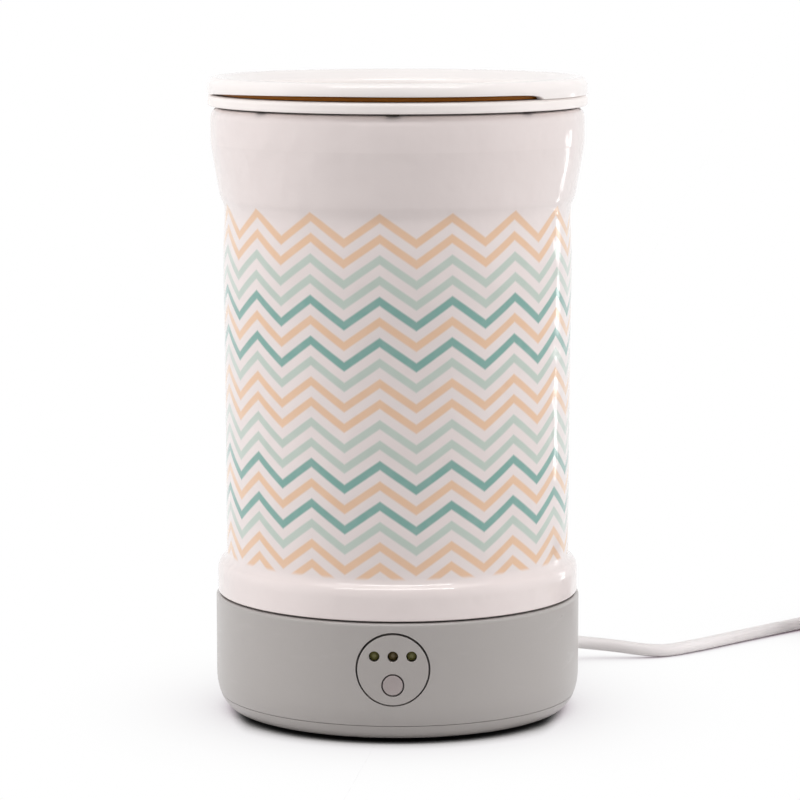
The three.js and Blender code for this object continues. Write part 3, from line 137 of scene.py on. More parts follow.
TABLE_R = 30
CONTACT_REACH = 0.01
SHADE_REACH = 0.06
BASE_EDGE = (0.042, 0.054)
LEAD_EDGE = (0.06, 0.07)
WHITE = (1, 1, 1, 1)
PAPER = (0.7, 0.7, 0.7, 1)
CONTACT_SHADOW_BLACK = (0.03, 0.03, 0.03, 1)
SHADOW_LILAC = (0.12, 0.02, 0.08, 1)

table_white, at = new_material("table_white")
near, wide = [
    at.node("ShaderNodeAmbientOcclusion", {"samples": 16}, {"Distance": reach}, out="AO")
    for reach in (CONTACT_REACH, SHADE_REACH)
]
# Painted light: beside the base, and a little less under the lead, the painted shadow is lightened as if
# the side lights reached in under them.
aside = abs(at.node("ShaderNodeSeparateXYZ", sockets={"Vector": at}, out="X"))
near = near + 0.6 * rising(aside, *BASE_EDGE) * (1 - 0.25 * rising(aside, *LEAD_EDGE))
# Painted contact shadow: the paper's colour goes to black where little is open around it.
paper = at.node("ShaderNodeBsdfPrincipled", sockets={
    "Base Color": mixed(rising(near, 0.1, 0.55), CONTACT_SHADOW_BLACK, PAPER),
    "Roughness": 1.0,
    "Specular IOR Level": 0.0,
})
# Painted soft shadow: the white background turns faintly lilac where the wider surroundings are closed.
glow = at.node("ShaderNodeEmission", sockets={"Color": mixed((1 - wide) * (1 - wide), WHITE, SHADOW_LILAC)})
clear_view = seen(at) * rising(near, 0.3, 0.9)
table = at.node("ShaderNodeMixShader", sockets={0: clear_view, 1: paper, 2: glow})
at.node("ShaderNodeOutputMaterial", sockets={"Surface": table})

bpy.ops.mesh.primitive_circle_add(vertices=64, radius=TABLE_R, fill_type="NGON")
table_top = bpy.context.object
table_top.name = "table_top"
table_top.data.materials.append(table_white)

# Studio light
# A dim warm room, wide soft lights overhead, in front and at each side, and behind the lamp a narrow
# upright one in three panes, which draws the broken reflection down the right of the glaze.

ROOM_TINT = (1, 0.95, 0.94, 1)
room = bpy.data.worlds.new("room")
bpy.context.scene.world = room
room.use_nodes = True
room.node_tree.nodes.clear()
start = Signal(room.node_tree, room.node_tree.nodes.new("ShaderNodeLightPath").outputs[0])
dim = start.node("ShaderNodeBackground", sockets={"Color": ROOM_TINT, "Strength": 0.25})
white = start.node("ShaderNodeBackground", sockets={"Color": WHITE, "Strength": 1.0})
walls = start.node("ShaderNodeMixShader", sockets={0: seen(start), 1: dim, 2: white})
start.node("ShaderNodeOutputWorld", sockets={"Surface": walls})

LAMP_MIDDLE = Vector((0, 0, 0.1))
PANE_AWAY = 0.45
PANE_WIDE = 0.032
PANE_WATTS = 0.3
BACK_PANES = [(126.4, 0.024, 0.042), (127.5, 0.076, 0.026), (127.0, 0.126, 0.04)]


def soft_light(name, azimuth, distance, height, size, watts, reflected):
    """A flat lamp that faces the object. Azimuth 0 is the front, and 90 the right."""
    lamp = bpy.data.lights.new(name, "AREA")
    lamp.shape = "RECTANGLE"
    lamp.size, lamp.size_y = size
    lamp.energy = watts
    holder = bpy.data.objects.new(name, lamp)
    bpy.context.scene.collection.objects.link(holder)
    turn = math.radians(azimuth)
    holder.location = (distance * math.sin(turn), -distance * math.cos(turn), height)
    aim = LAMP_MIDDLE - holder.location
    holder.rotation_euler = aim.to_track_quat("-Z", "Y").to_euler()
    holder.visible_glossy = reflected
    holder.visible_camera = False


soft_light("overhead", 180, 0.05, 1.2, (1.2, 0.4), 1.5, True)
soft_light("front_top", 0, 0.41, 1.22, (1.2, 0.12), 5.2, True)
soft_light("front_fill", 0, 1.5, 0.4, (1.0, 0.6), 0.6, False)
soft_light("left_side", -80, 1.3, 0.4, (1.0, 1.0), 11.5, False)
soft_light("right_side", 80, 1.3, 0.4, (1.0, 1.0), 10.5, False)
for pane, (azimuth, middle, tall) in enumerate(BACK_PANES):
    soft_light(
        f"back_pane_{pane + 1}", azimuth, PANE_AWAY, middle, (PANE_WIDE, tall), PANE_WATTS * tall, True,
    )

# Camera
# A long lens about a metre away and a little above the lamp, turned slightly towards its right.

CAMERA_AWAY = 1.029
CAMERA_HEIGHT = 0.2305
CAMERA_TURN = math.radians(1.4)
CAMERA_DIP = math.radians(7.65)
CAMERA_ASIDE = 0.00073
lens = bpy.data.cameras.new("camera")
lens.sensor_width = 36
lens.lens = 157.5
camera = bpy.data.objects.new("camera", lens)
bpy.context.scene.collection.objects.link(camera)
camera.location = (
    CAMERA_AWAY * math.sin(CAMERA_TURN) + CAMERA_ASIDE * math.cos(CAMERA_TURN),
    -CAMERA_AWAY * math.cos(CAMERA_TURN) + CAMERA_ASIDE * math.sin(CAMERA_TURN),
    CAMERA_HEIGHT,
)
camera.rotation_euler = (math.pi / 2 - CAMERA_DIP, 0, CAMERA_TURN)
bpy.context.scene.camera = camera
bpy.context.scene.view_settings.view_transform = "Standard"

# Bottom cover
# A shallow dished plate that closes the base from below, moulded in warm grey plastic. A lip inside the
# wall centres it, three wells take the screws, and four posts carry the power board.

MM = 0.001
EASE_MARGIN = 0.04
SHARP_ANGLE = math.radians(32)


def paint(red, green, blue):
    """A colour as it reads on a screen, from 0 to 255, in the linear values of a shader."""
    return tuple(((c / 255 + 0.055) / 1.055) ** 2.4 for c in (red, green, blue)) + (1,)


def cloudy(at, scale, detail=2):
    """Soft random values around 0.5. The scale is about the number of spots in a metre."""
    return at.node("ShaderNodeTexNoise", sockets={"Vector": at, "Scale": scale, "Detail": detail})


def stretched(at, scale, turn=(0, 0, 0)):
    return at.node("ShaderNodeMapping", sockets={"Vector": at, "Scale": scale, "Rotation": turn})


def axes(at):
    return [at.node("ShaderNodeSeparateXYZ", sockets={"Vector": at}, out=name) for name in "XYZ"]


def bumped(height, depth):
    return height.node("ShaderNodeBump", sockets={"Distance": depth, "Height": height})


def finished(at, sockets):
    shader = at.node("ShaderNodeBsdfPrincipled", sockets=sockets)
    at.node("ShaderNodeOutputMaterial", sockets={"Surface": shader})


def moulded(name, colour, pale, dull=0.5, grain=0.00004, coat=0.0):
    """A moulded plastic: faint clouds, a few rubbed marks and a fine even grain."""
    material, at = new_material(name)
    rubbed = rising(cloudy(stretched(at, (1, 1, 3.5), (0.5, 0.9, 0.3)), 55, 4), 0.62, 0.76)
    clouds = cloudy(at, 30)
    fine = cloudy(at, 2600, 3)
    finished(at, {
        "Base Color": mixed(0.35 * clouds + 0.3 * rubbed, colour, pale),
        "Roughness": dull + 0.12 * (fine - 0.5) - 0.1 * rubbed,
        "Coat Weight": coat,
        "Coat Roughness": 0.25,
        "Normal": bumped(fine, grain),
    })
    return material


def arc(centre, radii, start, end, steps):
    """Points on a part of an ellipse, for a turned piece's outline."""
    turns = [math.radians(start + (end - start) * i / steps) for i in range(steps + 1)]
    return [(centre[0] + radii[0] * math.cos(t), centre[1] + radii[1] * math.sin(t)) for t in turns]


def eased(corners, steps=5):
    """An outline with its corners rounded: the third number of a corner is its radius.
    A point just outside each end of the curve keeps the flat sides flat."""
    line = []
    for i, (r, z, *radius) in enumerate(corners):
        here = Vector((r, z))
        if not radius:
            line.append((r, z))
            continue
        back = (Vector(corners[i - 1][:2]) - here).normalized()
        ahead = (Vector(corners[(i + 1) % len(corners)][:2]) - here).normalized()
        half = back.angle(ahead) / 2
        centre = here + (back + ahead).normalized() * radius[0] / math.sin(half)
        ends = [here + side * radius[0] / math.tan(half) for side in (back, ahead)]
        first, last = [math.atan2(end.y - centre.y, end.x - centre.x) for end in ends]
        sweep = (last - first + math.pi) % (2 * math.pi) - math.pi
        line.append(tuple(ends[0] + back * EASE_MARGIN))
        for step in range(steps + 1):
            turn = first + sweep * step / steps
            line.append((centre.x + radius[0] * math.cos(turn), centre.y + radius[0] * math.sin(turn)))
        line.append(tuple(ends[1] + ahead * EASE_MARGIN))
    return line


def smoothed(data):
    data.shade_smooth()
    data.set_sharp_from_angle(angle=SHARP_ANGLE)


def shaped(name, mesh, placed=Matrix()):
    """An object from a mesh drawn in mm."""
    bmesh.ops.recalc_face_normals(mesh, faces=mesh.faces)
    mesh.transform(Matrix.Scale(MM, 4) @ placed)
    data = bpy.data.meshes.new(name)
    mesh.to_mesh(data)
    mesh.free()
    smoothed(data)
    piece = bpy.data.objects.new(name, data)
    bpy.context.scene.collection.objects.link(piece)
    return piece


def skinned(mesh, rings):
    """Faces between each ring of corners and the next one."""
    for ring, following in zip(rings, rings[1:]):
        for k in range(len(ring)):
            mesh.faces.new((ring[k - 1], ring[k], following[k], following[k - 1]))


def turned(name, outline, columns=192, placed=Matrix()):
    """A piece turned round its Z axis. The outline, in mm, may be a function of the angle in degrees,
    and the columns are their number or a list of their angles."""
    mesh = bmesh.new()
    angles = columns if isinstance(columns, list) else [360 * i / columns for i in range(columns)]
    rings = []
    for angle in angles:
        turn = math.radians(angle)
        line = outline(angle) if callable(outline) else outline
        rings.append([mesh.verts.new((r * math.cos(turn), r * math.sin(turn), z)) for r, z in line])
    skinned(mesh, [*rings, rings[0]])
    bmesh.ops.remove_doubles(mesh, verts=mesh.verts, dist=1e-5)
    loose = [edge for edge in mesh.edges if not edge.link_faces]
    bmesh.ops.delete(mesh, geom=loose, context="EDGES")
    return shaped(name, mesh, placed)


def rod(radius, low, high, x=0, y=0, placed=Matrix()):
    """A plain round tool or boss, for joining to a piece or cutting it."""
    line = [(0, low), (radius, low), (radius, high), (0, high)]
    return turned("rod", line, 48, placed @ Matrix.Translation((x, y, 0)))


def bar(size, middle, placed=Matrix()):
    """A plain square tool or rib, for joining to a piece or cutting it."""
    mesh = bmesh.new()
    bmesh.ops.create_cube(mesh, size=1)
    mesh.transform(Matrix.Translation(middle) @ Matrix.Diagonal((*size, 1)))
    return shaped("bar", mesh, placed)


def combined(piece, operation, *others):
    """Joins other solids to a piece, or cuts them out of it."""
    for other in others:
        step = piece.modifiers.new("step", "BOOLEAN")
        step.operation = operation
        step.object = other
        step.solver = "EXACT"
    state = bpy.context.evaluated_depsgraph_get()
    data = bpy.data.meshes.new_from_object(piece.evaluated_get(state))
    piece.modifiers.clear()
    piece.data = data
    smoothed(data)
    for other in others:
        bpy.data.objects.remove(other)


def fitted(piece, material, slot, body, *nodes):
    """Gives a piece its finish and puts it on its body, in place of these nodes."""
    piece.data.materials.clear()
    piece.data.materials.append(material)
    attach(piece, body)
    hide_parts(*nodes)


def levels(node):
    """The lowest and the highest level of a node, in mm."""
    return [corner.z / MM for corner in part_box(node)]


def around(radius, azimuth):
    return radius * math.cos(math.radians(azimuth)), radius * math.sin(math.radians(azimuth))


grey_plastic = moulded("grey_plastic", paint(171, 166, 163), paint(183, 178, 176), 0.36, coat=0.35)

BASE_R = 54
BASE_BORE = 51.2
TUCK = (5.5, 10.75)
COVER_LOW = 1.2
PARTING = (5.42, 5.58)
TUCK_CENTRE = (BASE_R - TUCK[0], COVER_LOW + TUCK[1])
COVER_TOP = 3.4
LIP_IN = 49.2
LIP_OUT = 50.8
LIP_TOP = 6.5
SCREW_PLACES = [around(39.5, azimuth) for azimuth in (95, 215, 335)]
SCREW_BORE_R = 1.5
WELL_R = 4.6
WELL_TOP = 6.4
HEAD_BORE_R = 2.9
HEAD_BORE_TOP = 4.2
FOOT_PLACES = [around(38, 35 + 90 * i) for i in range(4)]
FOOT_BORE_R = 5.3
FOOT_BORE_TOP = 1.7
POST_R = 2.6
POST_X = 17.5
POST_INSET = 3.5


def tucked(low, high, steps):
    """The rounded lower edge of the base between two levels."""
    turns = [math.degrees(math.asin((z - TUCK_CENTRE[1]) / TUCK[1])) for z in (low, high)]
    return arc(TUCK_CENTRE, TUCK, *turns, steps)


cover_plate = turned("cover_plate", [
    (0, COVER_LOW),
    (TUCK_CENTRE[0] - 0.2, COVER_LOW),
    *tucked(COVER_LOW, PARTING[0], 14),
    (LIP_OUT, PARTING[0]), (LIP_OUT, LIP_TOP), (LIP_IN, LIP_TOP), (LIP_IN, COVER_TOP), (0, COVER_TOP),
], 256)
board_low = levels("power_board")[0]
board_box = [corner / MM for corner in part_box("power_board")]
post_rows = (board_box[0].y + POST_INSET, board_box[1].y - POST_INSET)
post_places = [(x, y) for x in (-POST_X, POST_X) for y in post_rows]
combined(
    cover_plate, "UNION",
    *[rod(WELL_R, 2.2, WELL_TOP, x, y) for x, y in SCREW_PLACES],
    *[rod(POST_R, 2.4, board_low - 0.3, x, y) for x, y in post_places],
)
combined(
    cover_plate, "DIFFERENCE",
    *[rod(HEAD_BORE_R, 0, HEAD_BORE_TOP, x, y) for x, y in SCREW_PLACES],
    *[rod(SCREW_BORE_R, 0, 8, x, y) for x, y in SCREW_PLACES],
    *[rod(FOOT_BORE_R, 0, FOOT_BORE_TOP, x, y) for x, y in FOOT_PLACES],
    *[rod(SCREW_BORE_R, COVER_TOP, 12, x, y) for x, y in post_places[1:3]],
)
fitted(cover_plate, grey_plastic, "base_plastic", "base", "base_cover")

# Feet
# Four round pads of dark rubber, each glued into a shallow recess of the cover.
# They keep the base about a millimetre off the table and stop it from sliding.


def rubbery(name, colour, pale):
    """A dull rubber with a fine grain and a little dust."""
    material, at = new_material(name)
    fine = cloudy(at, 1400, 4)
    dust = rising(cloudy(at, 160, 3), 0.5, 0.75)
    finished(at, {
        "Base Color": mixed(0.5 * dust, colour, pale),
        "Roughness": 0.72 + 0.2 * dust,
        "Normal": bumped(fine, 0.00006),
    })
    return material


dark_rubber = rubbery("dark_rubber", paint(44, 36, 29), paint(66, 57, 48))
FOOT_R = 5
FOOT_TOP = 1.4
foot_line = eased([
    (0, 0.2), (3.3, 0.2, 0.3), (3.7, 0), (FOOT_R, 0, 0.5), (FOOT_R, FOOT_TOP, 0.2), (0, FOOT_TOP),
])
for i, (x, y) in enumerate(FOOT_PLACES):
    pad = turned(f"rubber_foot_{i + 1}", foot_line, 48, Matrix.Translation((x, y, 0)))
    fitted(pad, dark_rubber, "dark_rubber", "base", f"foot_{i + 1}")

# Cover screws
# Three zinc plated screws with a domed head and a cross recess.
# They go up through the wells of the cover into the bosses of the shell.


def metal(name, colour, pale, dull):
    """A plated or turned metal: fine lines of the tool, and a little tarnish."""
    material, at = new_material(name)
    lines = cloudy(stretched(at, (1, 1, 14)), 260, 4)
    tarnish = rising(cloudy(at, 120, 4), 0.42, 0.7)
    finished(at, {
        "Base Color": mixed(tarnish, pale, colour),
        "Metallic": 1.0,
        "Roughness": dull + 0.2 * (lines - 0.5) + 0.08 * tarnish,
        "Normal": bumped(lines, 0.00002),
    })
    return material


zinc = metal("zinc", paint(168, 170, 173), paint(206, 207, 208), 0.32)
SCREW_SEAT = 4.05
SCREW_R = 1.2
SCREW_LENGTH = 9
HEAD_R = 2.6
HEAD_TALL = 1.6
CROSS = (2.7, 0.55)
screw_line = eased([
    (0, -HEAD_TALL), (1.2, -1.55), (2.1, -1.25), (HEAD_R, -0.6), (HEAD_R, 0, 0.1),
    (SCREW_R, 0), (SCREW_R, SCREW_LENGTH - 0.6), (0.6, SCREW_LENGTH), (0, SCREW_LENGTH),
])
for i, (x, y) in enumerate(SCREW_PLACES):
    place = Matrix.Translation((x, y, SCREW_SEAT)) @ Matrix.Rotation(0.5 + 1.1 * i, 4, "Z")
    fixing = turned(f"cover_fixing_{i + 1}", screw_line, 48, place)
    combined(
        fixing, "DIFFERENCE",
        *[bar((*arm, HEAD_TALL), (0, 0, -HEAD_TALL), place) for arm in (CROSS, CROSS[::-1])],
    )
    fitted(fixing, zinc, "screw_steel", "base", f"cover_screw_{i + 1}")

# Base shell
# The grey cup of the base, moulded in one piece. Its deck has a low ring that centres the ceramic foot,
# and its wall has a round window for the control panel and a hole for the lead.

DECK_UNDER = 32.5
DECK_RING_IN = 44.8
DECK_RING_OUT = 46.8
DECK_RING_TALL = 2
TUBE_BORE_R = 5.3
SHELL_BOSS_R = 3.6
WINDOW_R = 10.66
WINDOW_RISE = 0.14
PANEL_Z = 22
RELIEF_TURN = math.radians(53.4)
RELIEF_DIP = math.radians(8.5)
RELIEF_Z = 12
RELIEF_BORE_R = 4.1
deck = levels("base_shell")[1] - DECK_RING_TALL
relief_frame = (
    Matrix.Translation((BASE_R * math.cos(RELIEF_TURN), BASE_R * math.sin(RELIEF_TURN), RELIEF_Z))
    @ Matrix.Rotation(RELIEF_TURN, 4, "Z") @ Matrix.Rotation(math.pi / 2 + RELIEF_DIP, 4, "Y")
)
panel_frame = Matrix.Translation((0, 0, PANEL_Z)) @ Matrix.Rotation(math.pi / 2, 4, "X")


def sagged(x):
    """How far the round wall falls back, in mm, at a distance aside from its middle."""
    return BASE_R - math.sqrt(BASE_R ** 2 - x ** 2)


def bent(piece):
    """Bends a flat turned piece to the round wall and stands it up in place of the panel."""
    for corner in piece.data.vertices:
        corner.co.z -= sagged(corner.co.x / MM) * MM
    piece.data.transform(Matrix.Scale(MM, 4) @ panel_frame @ Matrix.Scale(1 / MM, 4))
    return piece


window = bent(turned("window", [
    (0, 43), (WINDOW_R, 43), (WINDOW_R, BASE_R - 0.1), (WINDOW_R + 0.04, BASE_R),
    (WINDOW_R + 0.08, BASE_R + 0.3), *[(r, BASE_R + 0.3) for r in (8, 5.3, 2.6, 0)],
], 96, Matrix.Translation((0, WINDOW_RISE, 0))))
grey_shell = turned("grey_shell", [
    (BASE_BORE, PARTING[1]),
    *tucked(PARTING[1], TUCK_CENTRE[1] - 0.01, 14),
    (BASE_R, TUCK_CENTRE[1] + 0.3),
    *eased([
        (BASE_BORE, DECK_UNDER), (BASE_R, DECK_UNDER), (BASE_R, deck, 1.0), (DECK_RING_OUT, deck),
    ], 8)[2:-1],
    (DECK_RING_OUT, deck), (DECK_RING_OUT, deck + DECK_RING_TALL),
    (DECK_RING_IN, deck + DECK_RING_TALL), (DECK_RING_IN, deck),
    (TUBE_BORE_R, deck), (TUBE_BORE_R, DECK_UNDER), (BASE_BORE, DECK_UNDER),
], 288)
combined(grey_shell, "UNION", *[rod(SHELL_BOSS_R, 6.7, 33, x, y) for x, y in SCREW_PLACES])
combined(
    grey_shell, "DIFFERENCE",
    *[rod(SCREW_BORE_R, 0, 14.2, x, y) for x, y in SCREW_PLACES],
    window,
    rod(RELIEF_BORE_R, -11, 6, 0, 0, relief_frame),
)
fitted(grey_shell, grey_plastic, "base_plastic", "base", "base_shell")

# Control panel
# A round insert of the same grey plastic, flush with the wall and bent to its curve. Two ears hold it
# from inside, and it has three holes for the lights and a larger one for the button.

PANEL_R = 10.15
PANEL_BORE_R = 8.75
SKIN = 2.5
LED_STEP = 5.32
LED_RISE = 3.9
LED_HOLE_R = 1.55
BUTTON_DROP = 4.4
BUTTON_HOLE_R = 3.3
EAR = (3.4, 12, 1.6)
EAR_X = 10.35
PEG_R = 1.9
PEG_LENGTH = 3.8

panel_plastic = moulded("panel_plastic", paint(172, 167, 164), paint(184, 179, 177), 0.45)
ear_back = -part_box("control_panel")[1].y / MM + PEG_LENGTH
skin_rings = [0.35 * i for i in range(25)]
panel_disc = bent(turned("panel_disc", [
    *[(r, BASE_R - SKIN) for r in skin_rings],
    (PANEL_BORE_R, BASE_R - SKIN), (PANEL_BORE_R, ear_back), (PANEL_R, ear_back),
    *eased([(PANEL_R, ear_back), (PANEL_R, BASE_R, 0.2), (8, BASE_R)], 4)[1:-1],
    *[(r, BASE_R) for r in [9.8, 9.5, 9.2, 8.9, 8.7, *skin_rings[::-1]]],
], 128))
combined(
    panel_disc, "UNION",
    *[bar(EAR, (side * EAR_X, 0, ear_back + EAR[2] / 2), panel_frame) for side in (-1, 1)],
    *[rod(PEG_R, ear_back - PEG_LENGTH, ear_back + 0.5, side * PANEL_R, 0, panel_frame)
      for side in (-1, 1)],
)


def flared(radius, x, y):
    """A tool for a round hole in the panel, with its outer edge taken off a little."""
    face = BASE_R - sagged(x)
    mouth = radius + 0.12
    line = [(0, 50), (radius, 50), (radius, face - 0.1), (mouth, face + 0.02), (mouth, 56), (0, 56)]
    return turned("hole", line, 64, panel_frame @ Matrix.Translation((x, y, 0)))


combined(
    panel_disc, "DIFFERENCE",
    *[flared(LED_HOLE_R, step * LED_STEP, LED_RISE) for step in (-1, 0, 1)],
    flared(BUTTON_HOLE_R, 0, -BUTTON_DROP),
)
fitted(panel_disc, panel_plastic, "panel_plastic", "base", "control_panel")

# Indicator lights
# Three small lights with domed lenses, set back in their holes.
# Their resin is tinted yellow green, and that of the middle one amber.

LED_R = 1.4
LED_DOME = 1.0
LED_FLANGE_R = 1.75
LED_FLANGE_TALL = 2.6

led_resin, at = new_material("led_resin")
x, _, z = axes(at)
aside = abs(x)
across = aside.maths("MINIMUM", aside, abs(aside - LED_STEP * MM))
upward = z - (PANEL_Z + LED_RISE) * MM
off_axis = across.maths("SQRT", across * across + upward * upward)
amber = 1 - rising(aside, 0.0015, 0.0035)
cup = rising(off_axis, 0.00045, 0.00062) * (1 - rising(off_axis, 0.0007, 0.00095))
resin = mixed(amber, paint(112, 110, 52), paint(98, 82, 40))
finished(at, {
    "Base Color": mixed(0.4 * cup, resin, paint(60, 54, 22)),
    "Roughness": 0.3 + 0.1 * cloudy(at, 900),
})
led_base = -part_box("led_1")[1].y / MM
led_tip = -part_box("led_1")[0].y / MM
led_line = [
    (0, led_base), (LED_FLANGE_R, led_base), (LED_FLANGE_R, led_base + LED_FLANGE_TALL - 0.15),
    (LED_FLANGE_R - 0.1, led_base + LED_FLANGE_TALL), (LED_R, led_base + LED_FLANGE_TALL),
    *arc((0, led_tip - LED_DOME), (LED_R, LED_DOME), 0, 90, 10),
]
for i in range(3):
    spot = panel_frame @ Matrix.Translation(((i - 1) * LED_STEP, LED_RISE, 0))
    indicator = turned(f"indicator_{i + 1}", led_line, 40, spot)
    fitted(indicator, led_resin, "led_lens", "base", f"led_{i + 1}")

# Button
# A small round key in a paler, slightly pink grey, with a shallow dish in its face.
# A flange behind the panel keeps it in, and its stem presses the switch on the board.

STEM_R = 1.5
KEY_R = 2.86
KEY_FLANGE_R = 4.2
KEY_FLANGE_IN, KEY_FLANGE_OUT = 50.2, 51.2

key_plastic = moulded("key_plastic", paint(168, 158, 157), paint(180, 170, 169), 0.45, 0.00003)
stem_end = -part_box("button_cap")[1].y / MM
key_line = eased([
    (0, stem_end), (STEM_R, stem_end), (STEM_R, KEY_FLANGE_IN), (KEY_FLANGE_R, KEY_FLANGE_IN),
    (KEY_FLANGE_R, KEY_FLANGE_OUT), (KEY_R, KEY_FLANGE_OUT),
    (KEY_R, BASE_R, 0.2), (2.45, BASE_R, 0.4), (1.4, BASE_R - 0.09, 2), (0, BASE_R - 0.12),
])
push_button = turned("push_button", key_line, 64, panel_frame @ Matrix.Translation((0, -BUTTON_DROP, 0)))
fitted(push_button, key_plastic, "button_plastic", "button", "button_cap")

# Circuit boards and wiring
# What the base holds: a small board behind the panel with its switch, a power board on the cover with a
# terminal block, a relay and a capacitor, and the leads between them. These are the CAD solids.


def dressed(material, *nodes):
    """Gives CAD solids their finish."""
    for node in nodes:
        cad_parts[node].data.materials.clear()
        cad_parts[node].data.materials.append(material)


solder_mask, at = new_material("solder_mask")
tracks = rising(abs(cloudy(stretched(at, (1, 6, 1)), 120) - 0.5), 0.03, 0.06)
finished(at, {
    "Base Color": mixed(tracks, paint(92, 140, 84), paint(38, 94, 60)),
    "Roughness": 0.34 + 0.14 * tracks,
    "Normal": bumped(tracks, 0.00003),
})
dressed(solder_mask, "control_board", "power_board")

RIBBON_CORES_PER_M = 900
ribbon_grey, at = new_material("ribbon_grey")
across = axes(at)[0] * RIBBON_CORES_PER_M
cores = abs(across.maths("FRACT", across) - 0.5) * 2
finished(at, {
    "Base Color": mixed(cores, paint(150, 152, 158), paint(196, 198, 203)),
    "Roughness": 0.5 + 0.1 * cores,
    "Normal": bumped(cores, 0.0001),
})
dressed(ribbon_grey, "ribbon_cable")

black_plastic = moulded("black_plastic", paint(40, 42, 45), paint(58, 60, 64), 0.45)
dressed(black_plastic, "switch_plunger", "capacitor")
relay_blue = moulded("relay_blue", paint(34, 66, 124), paint(52, 84, 142), 0.38)
dressed(relay_blue, "relay")
terminal_green = moulded("terminal_green", paint(64, 128, 82), paint(84, 148, 100), 0.45)
dressed(terminal_green, "terminal_block")
dressed(zinc, "tact_switch", "control_screw_1", "control_screw_2", "power_screw_1", "power_screw_2")
lead_red = moulded("lead_red", paint(158, 58, 46), paint(178, 78, 62), 0.55)
dressed(lead_red, "heater_lead_1", "heater_lead_2")

# Strain relief
# A white bush of soft plastic, gripped by the wall of the base between two flanges. Its tapered tail is
# slotted on alternate sides, so that it bends with the lead.

FLANGE_R = 5
FLANGE_TILT = FLANGE_R * math.tan(RELIEF_DIP)
BUSH_IN = BASE_BORE - BASE_R - 0.6 - FLANGE_TILT
BUSH_OUT = 0.3 + FLANGE_R ** 2 / (2 * BASE_R) + FLANGE_TILT
BUSH_R = 3.8
TAIL_R = 4.3
TAIL_START = 2
TAIL_TAPER = 1.6
RELIEF_LENGTH = 22
RELIEF_SLOTS = 7
SLOT_START = 4.4
SLOT_STEP = 2.3
soft_white = moulded("soft_white", paint(246, 241, 240), paint(250, 246, 245), 0.46, 0.00003)


def slotted(angle):
    """The outline of the bush on one side of it: every second slot is missing there."""
    tail = []
    for k in range(RELIEF_SLOTS):
        middle = SLOT_START + SLOT_STEP * k
        radius = TAIL_R - TAIL_TAPER * (middle - TAIL_START) / (RELIEF_LENGTH - TAIL_START)
        side = abs(math.sin(math.radians(angle + 90 * (k % 2))))
        depth = (radius - 2.15) * 0.8 * min(1, max(0, (side - 0.3) / 0.12))
        tail += [(radius + 0.04, middle - 0.62), (radius - depth, middle - 0.5)]
        tail += [(radius - depth, middle + 0.5), (radius - 0.04, middle + 0.62)]
    end = BUSH_OUT + RELIEF_LENGTH
    return [
        (0, BUSH_IN - 2), (4.7, BUSH_IN - 2), (FLANGE_R, BUSH_IN - 1.7), (FLANGE_R, BUSH_IN),
        (BUSH_R, BUSH_IN), (BUSH_R, BUSH_OUT),
        (4.8, BUSH_OUT), (FLANGE_R, BUSH_OUT + 0.2), (FLANGE_R, BUSH_OUT + 1), (4.75, BUSH_OUT + 1.5),
        (TAIL_R, BUSH_OUT + TAIL_START),
        *[(r, BUSH_OUT + s) for r, s in tail],
        (2.7, end - 0.4), (2.4, end), (0, end),
    ]


cord_bush = turned("cord_bush", slotted, 120, relief_frame)
fitted(cord_bush, soft_white, "cord_white", "base", "strain_relief")
dressed(soft_white, "mains_lead")

# Foot seal
# A flat ring of dark rubber under the foot of the ceramic body.
# From outside it is only a thin dark line between the white glaze and the grey base.

FOOT_SEAL_IN, FOOT_SEAL_OUT = 47.4, 51.9
FOOT_SEAL_EASE = 0.1
seal_low, seal_high = levels("body_gasket")
foot_seal = turned("foot_seal", eased([
    (FOOT_SEAL_IN, seal_low, FOOT_SEAL_EASE), (FOOT_SEAL_OUT, seal_low, FOOT_SEAL_EASE),
    (FOOT_SEAL_OUT, seal_high, FOOT_SEAL_EASE), (FOOT_SEAL_IN, seal_high, FOOT_SEAL_EASE),
], 2))
fitted(foot_seal, dark_rubber, "dark_rubber", "base", "body_gasket")

# Ceramic body
# A slip cast tube with a foot band and a flared rim, glazed white, with rows of zigzag lines in teal,
# peach and mint printed under the glaze. It stands on the foot seal, round the ring of the deck.

FOOT_BAND_R = 53.5
FOOT_BAND_TALL = 6.2
FOOT_BORE_IN = 47.1
FLOOR_LOW, FLOOR_TOP = 2.4, 6.9
FLOOR_HOLE_R = 5.6
WAIST_R = 50.8
RIM_R = 54.95
BODY_WALL = 3.5
PRINT_TOP = 110.94
PRINT_STEP = 5.835
PRINT_SWING = 3.6
PRINT_PERIOD = 22.5
PRINT_TURN = 4.05
PRINT_STRETCH = 1.6
PRINT_LINE = 1.3
PRINT_BLUR = 0.42
PRINT_ROWS = 18
PRINT_END = 11.5
body_low, body_high = levels("ceramic_body")

printed_glaze, at = new_material("printed_glaze")
x, y, z = axes(at)
bearing = x.maths("ARCTAN2", x, 0 - y) * (180 / math.pi / PRINT_PERIOD) + PRINT_TURN / PRINT_PERIOD
bearing = bearing - x * (PRINT_STRETCH / PRINT_PERIOD / WAIST_R / MM)
bearing = bearing + 0.012 * (cloudy(at, 70) - 0.5)
swing = abs((bearing + 0.5).maths("FRACT", bearing + 0.5) - 0.5) * 2
height = z / MM - body_low
row = (PRINT_TOP + PRINT_SWING * (1 - 2 * swing) - height) / PRINT_STEP
nearest = row.maths("MINIMUM", row.maths("MAXIMUM", row.maths("ROUND", row), 0), PRINT_ROWS - 1)
off_line = abs(row - nearest) * PRINT_STEP
inked = 1 - rising(off_line, PRINT_LINE - PRINT_BLUR, PRINT_LINE + PRINT_BLUR)
inked = inked * rising(height, PRINT_END - 0.4, PRINT_END + 0.9)
peach = (0.82, 0.545, 0.36, 1)
mint = (0.52, 0.605, 0.545, 1)
teal = (0.187, 0.395, 0.35, 1)
eighths = (nearest / 8).maths("FRACT", nearest / 8 + 1 / 16)
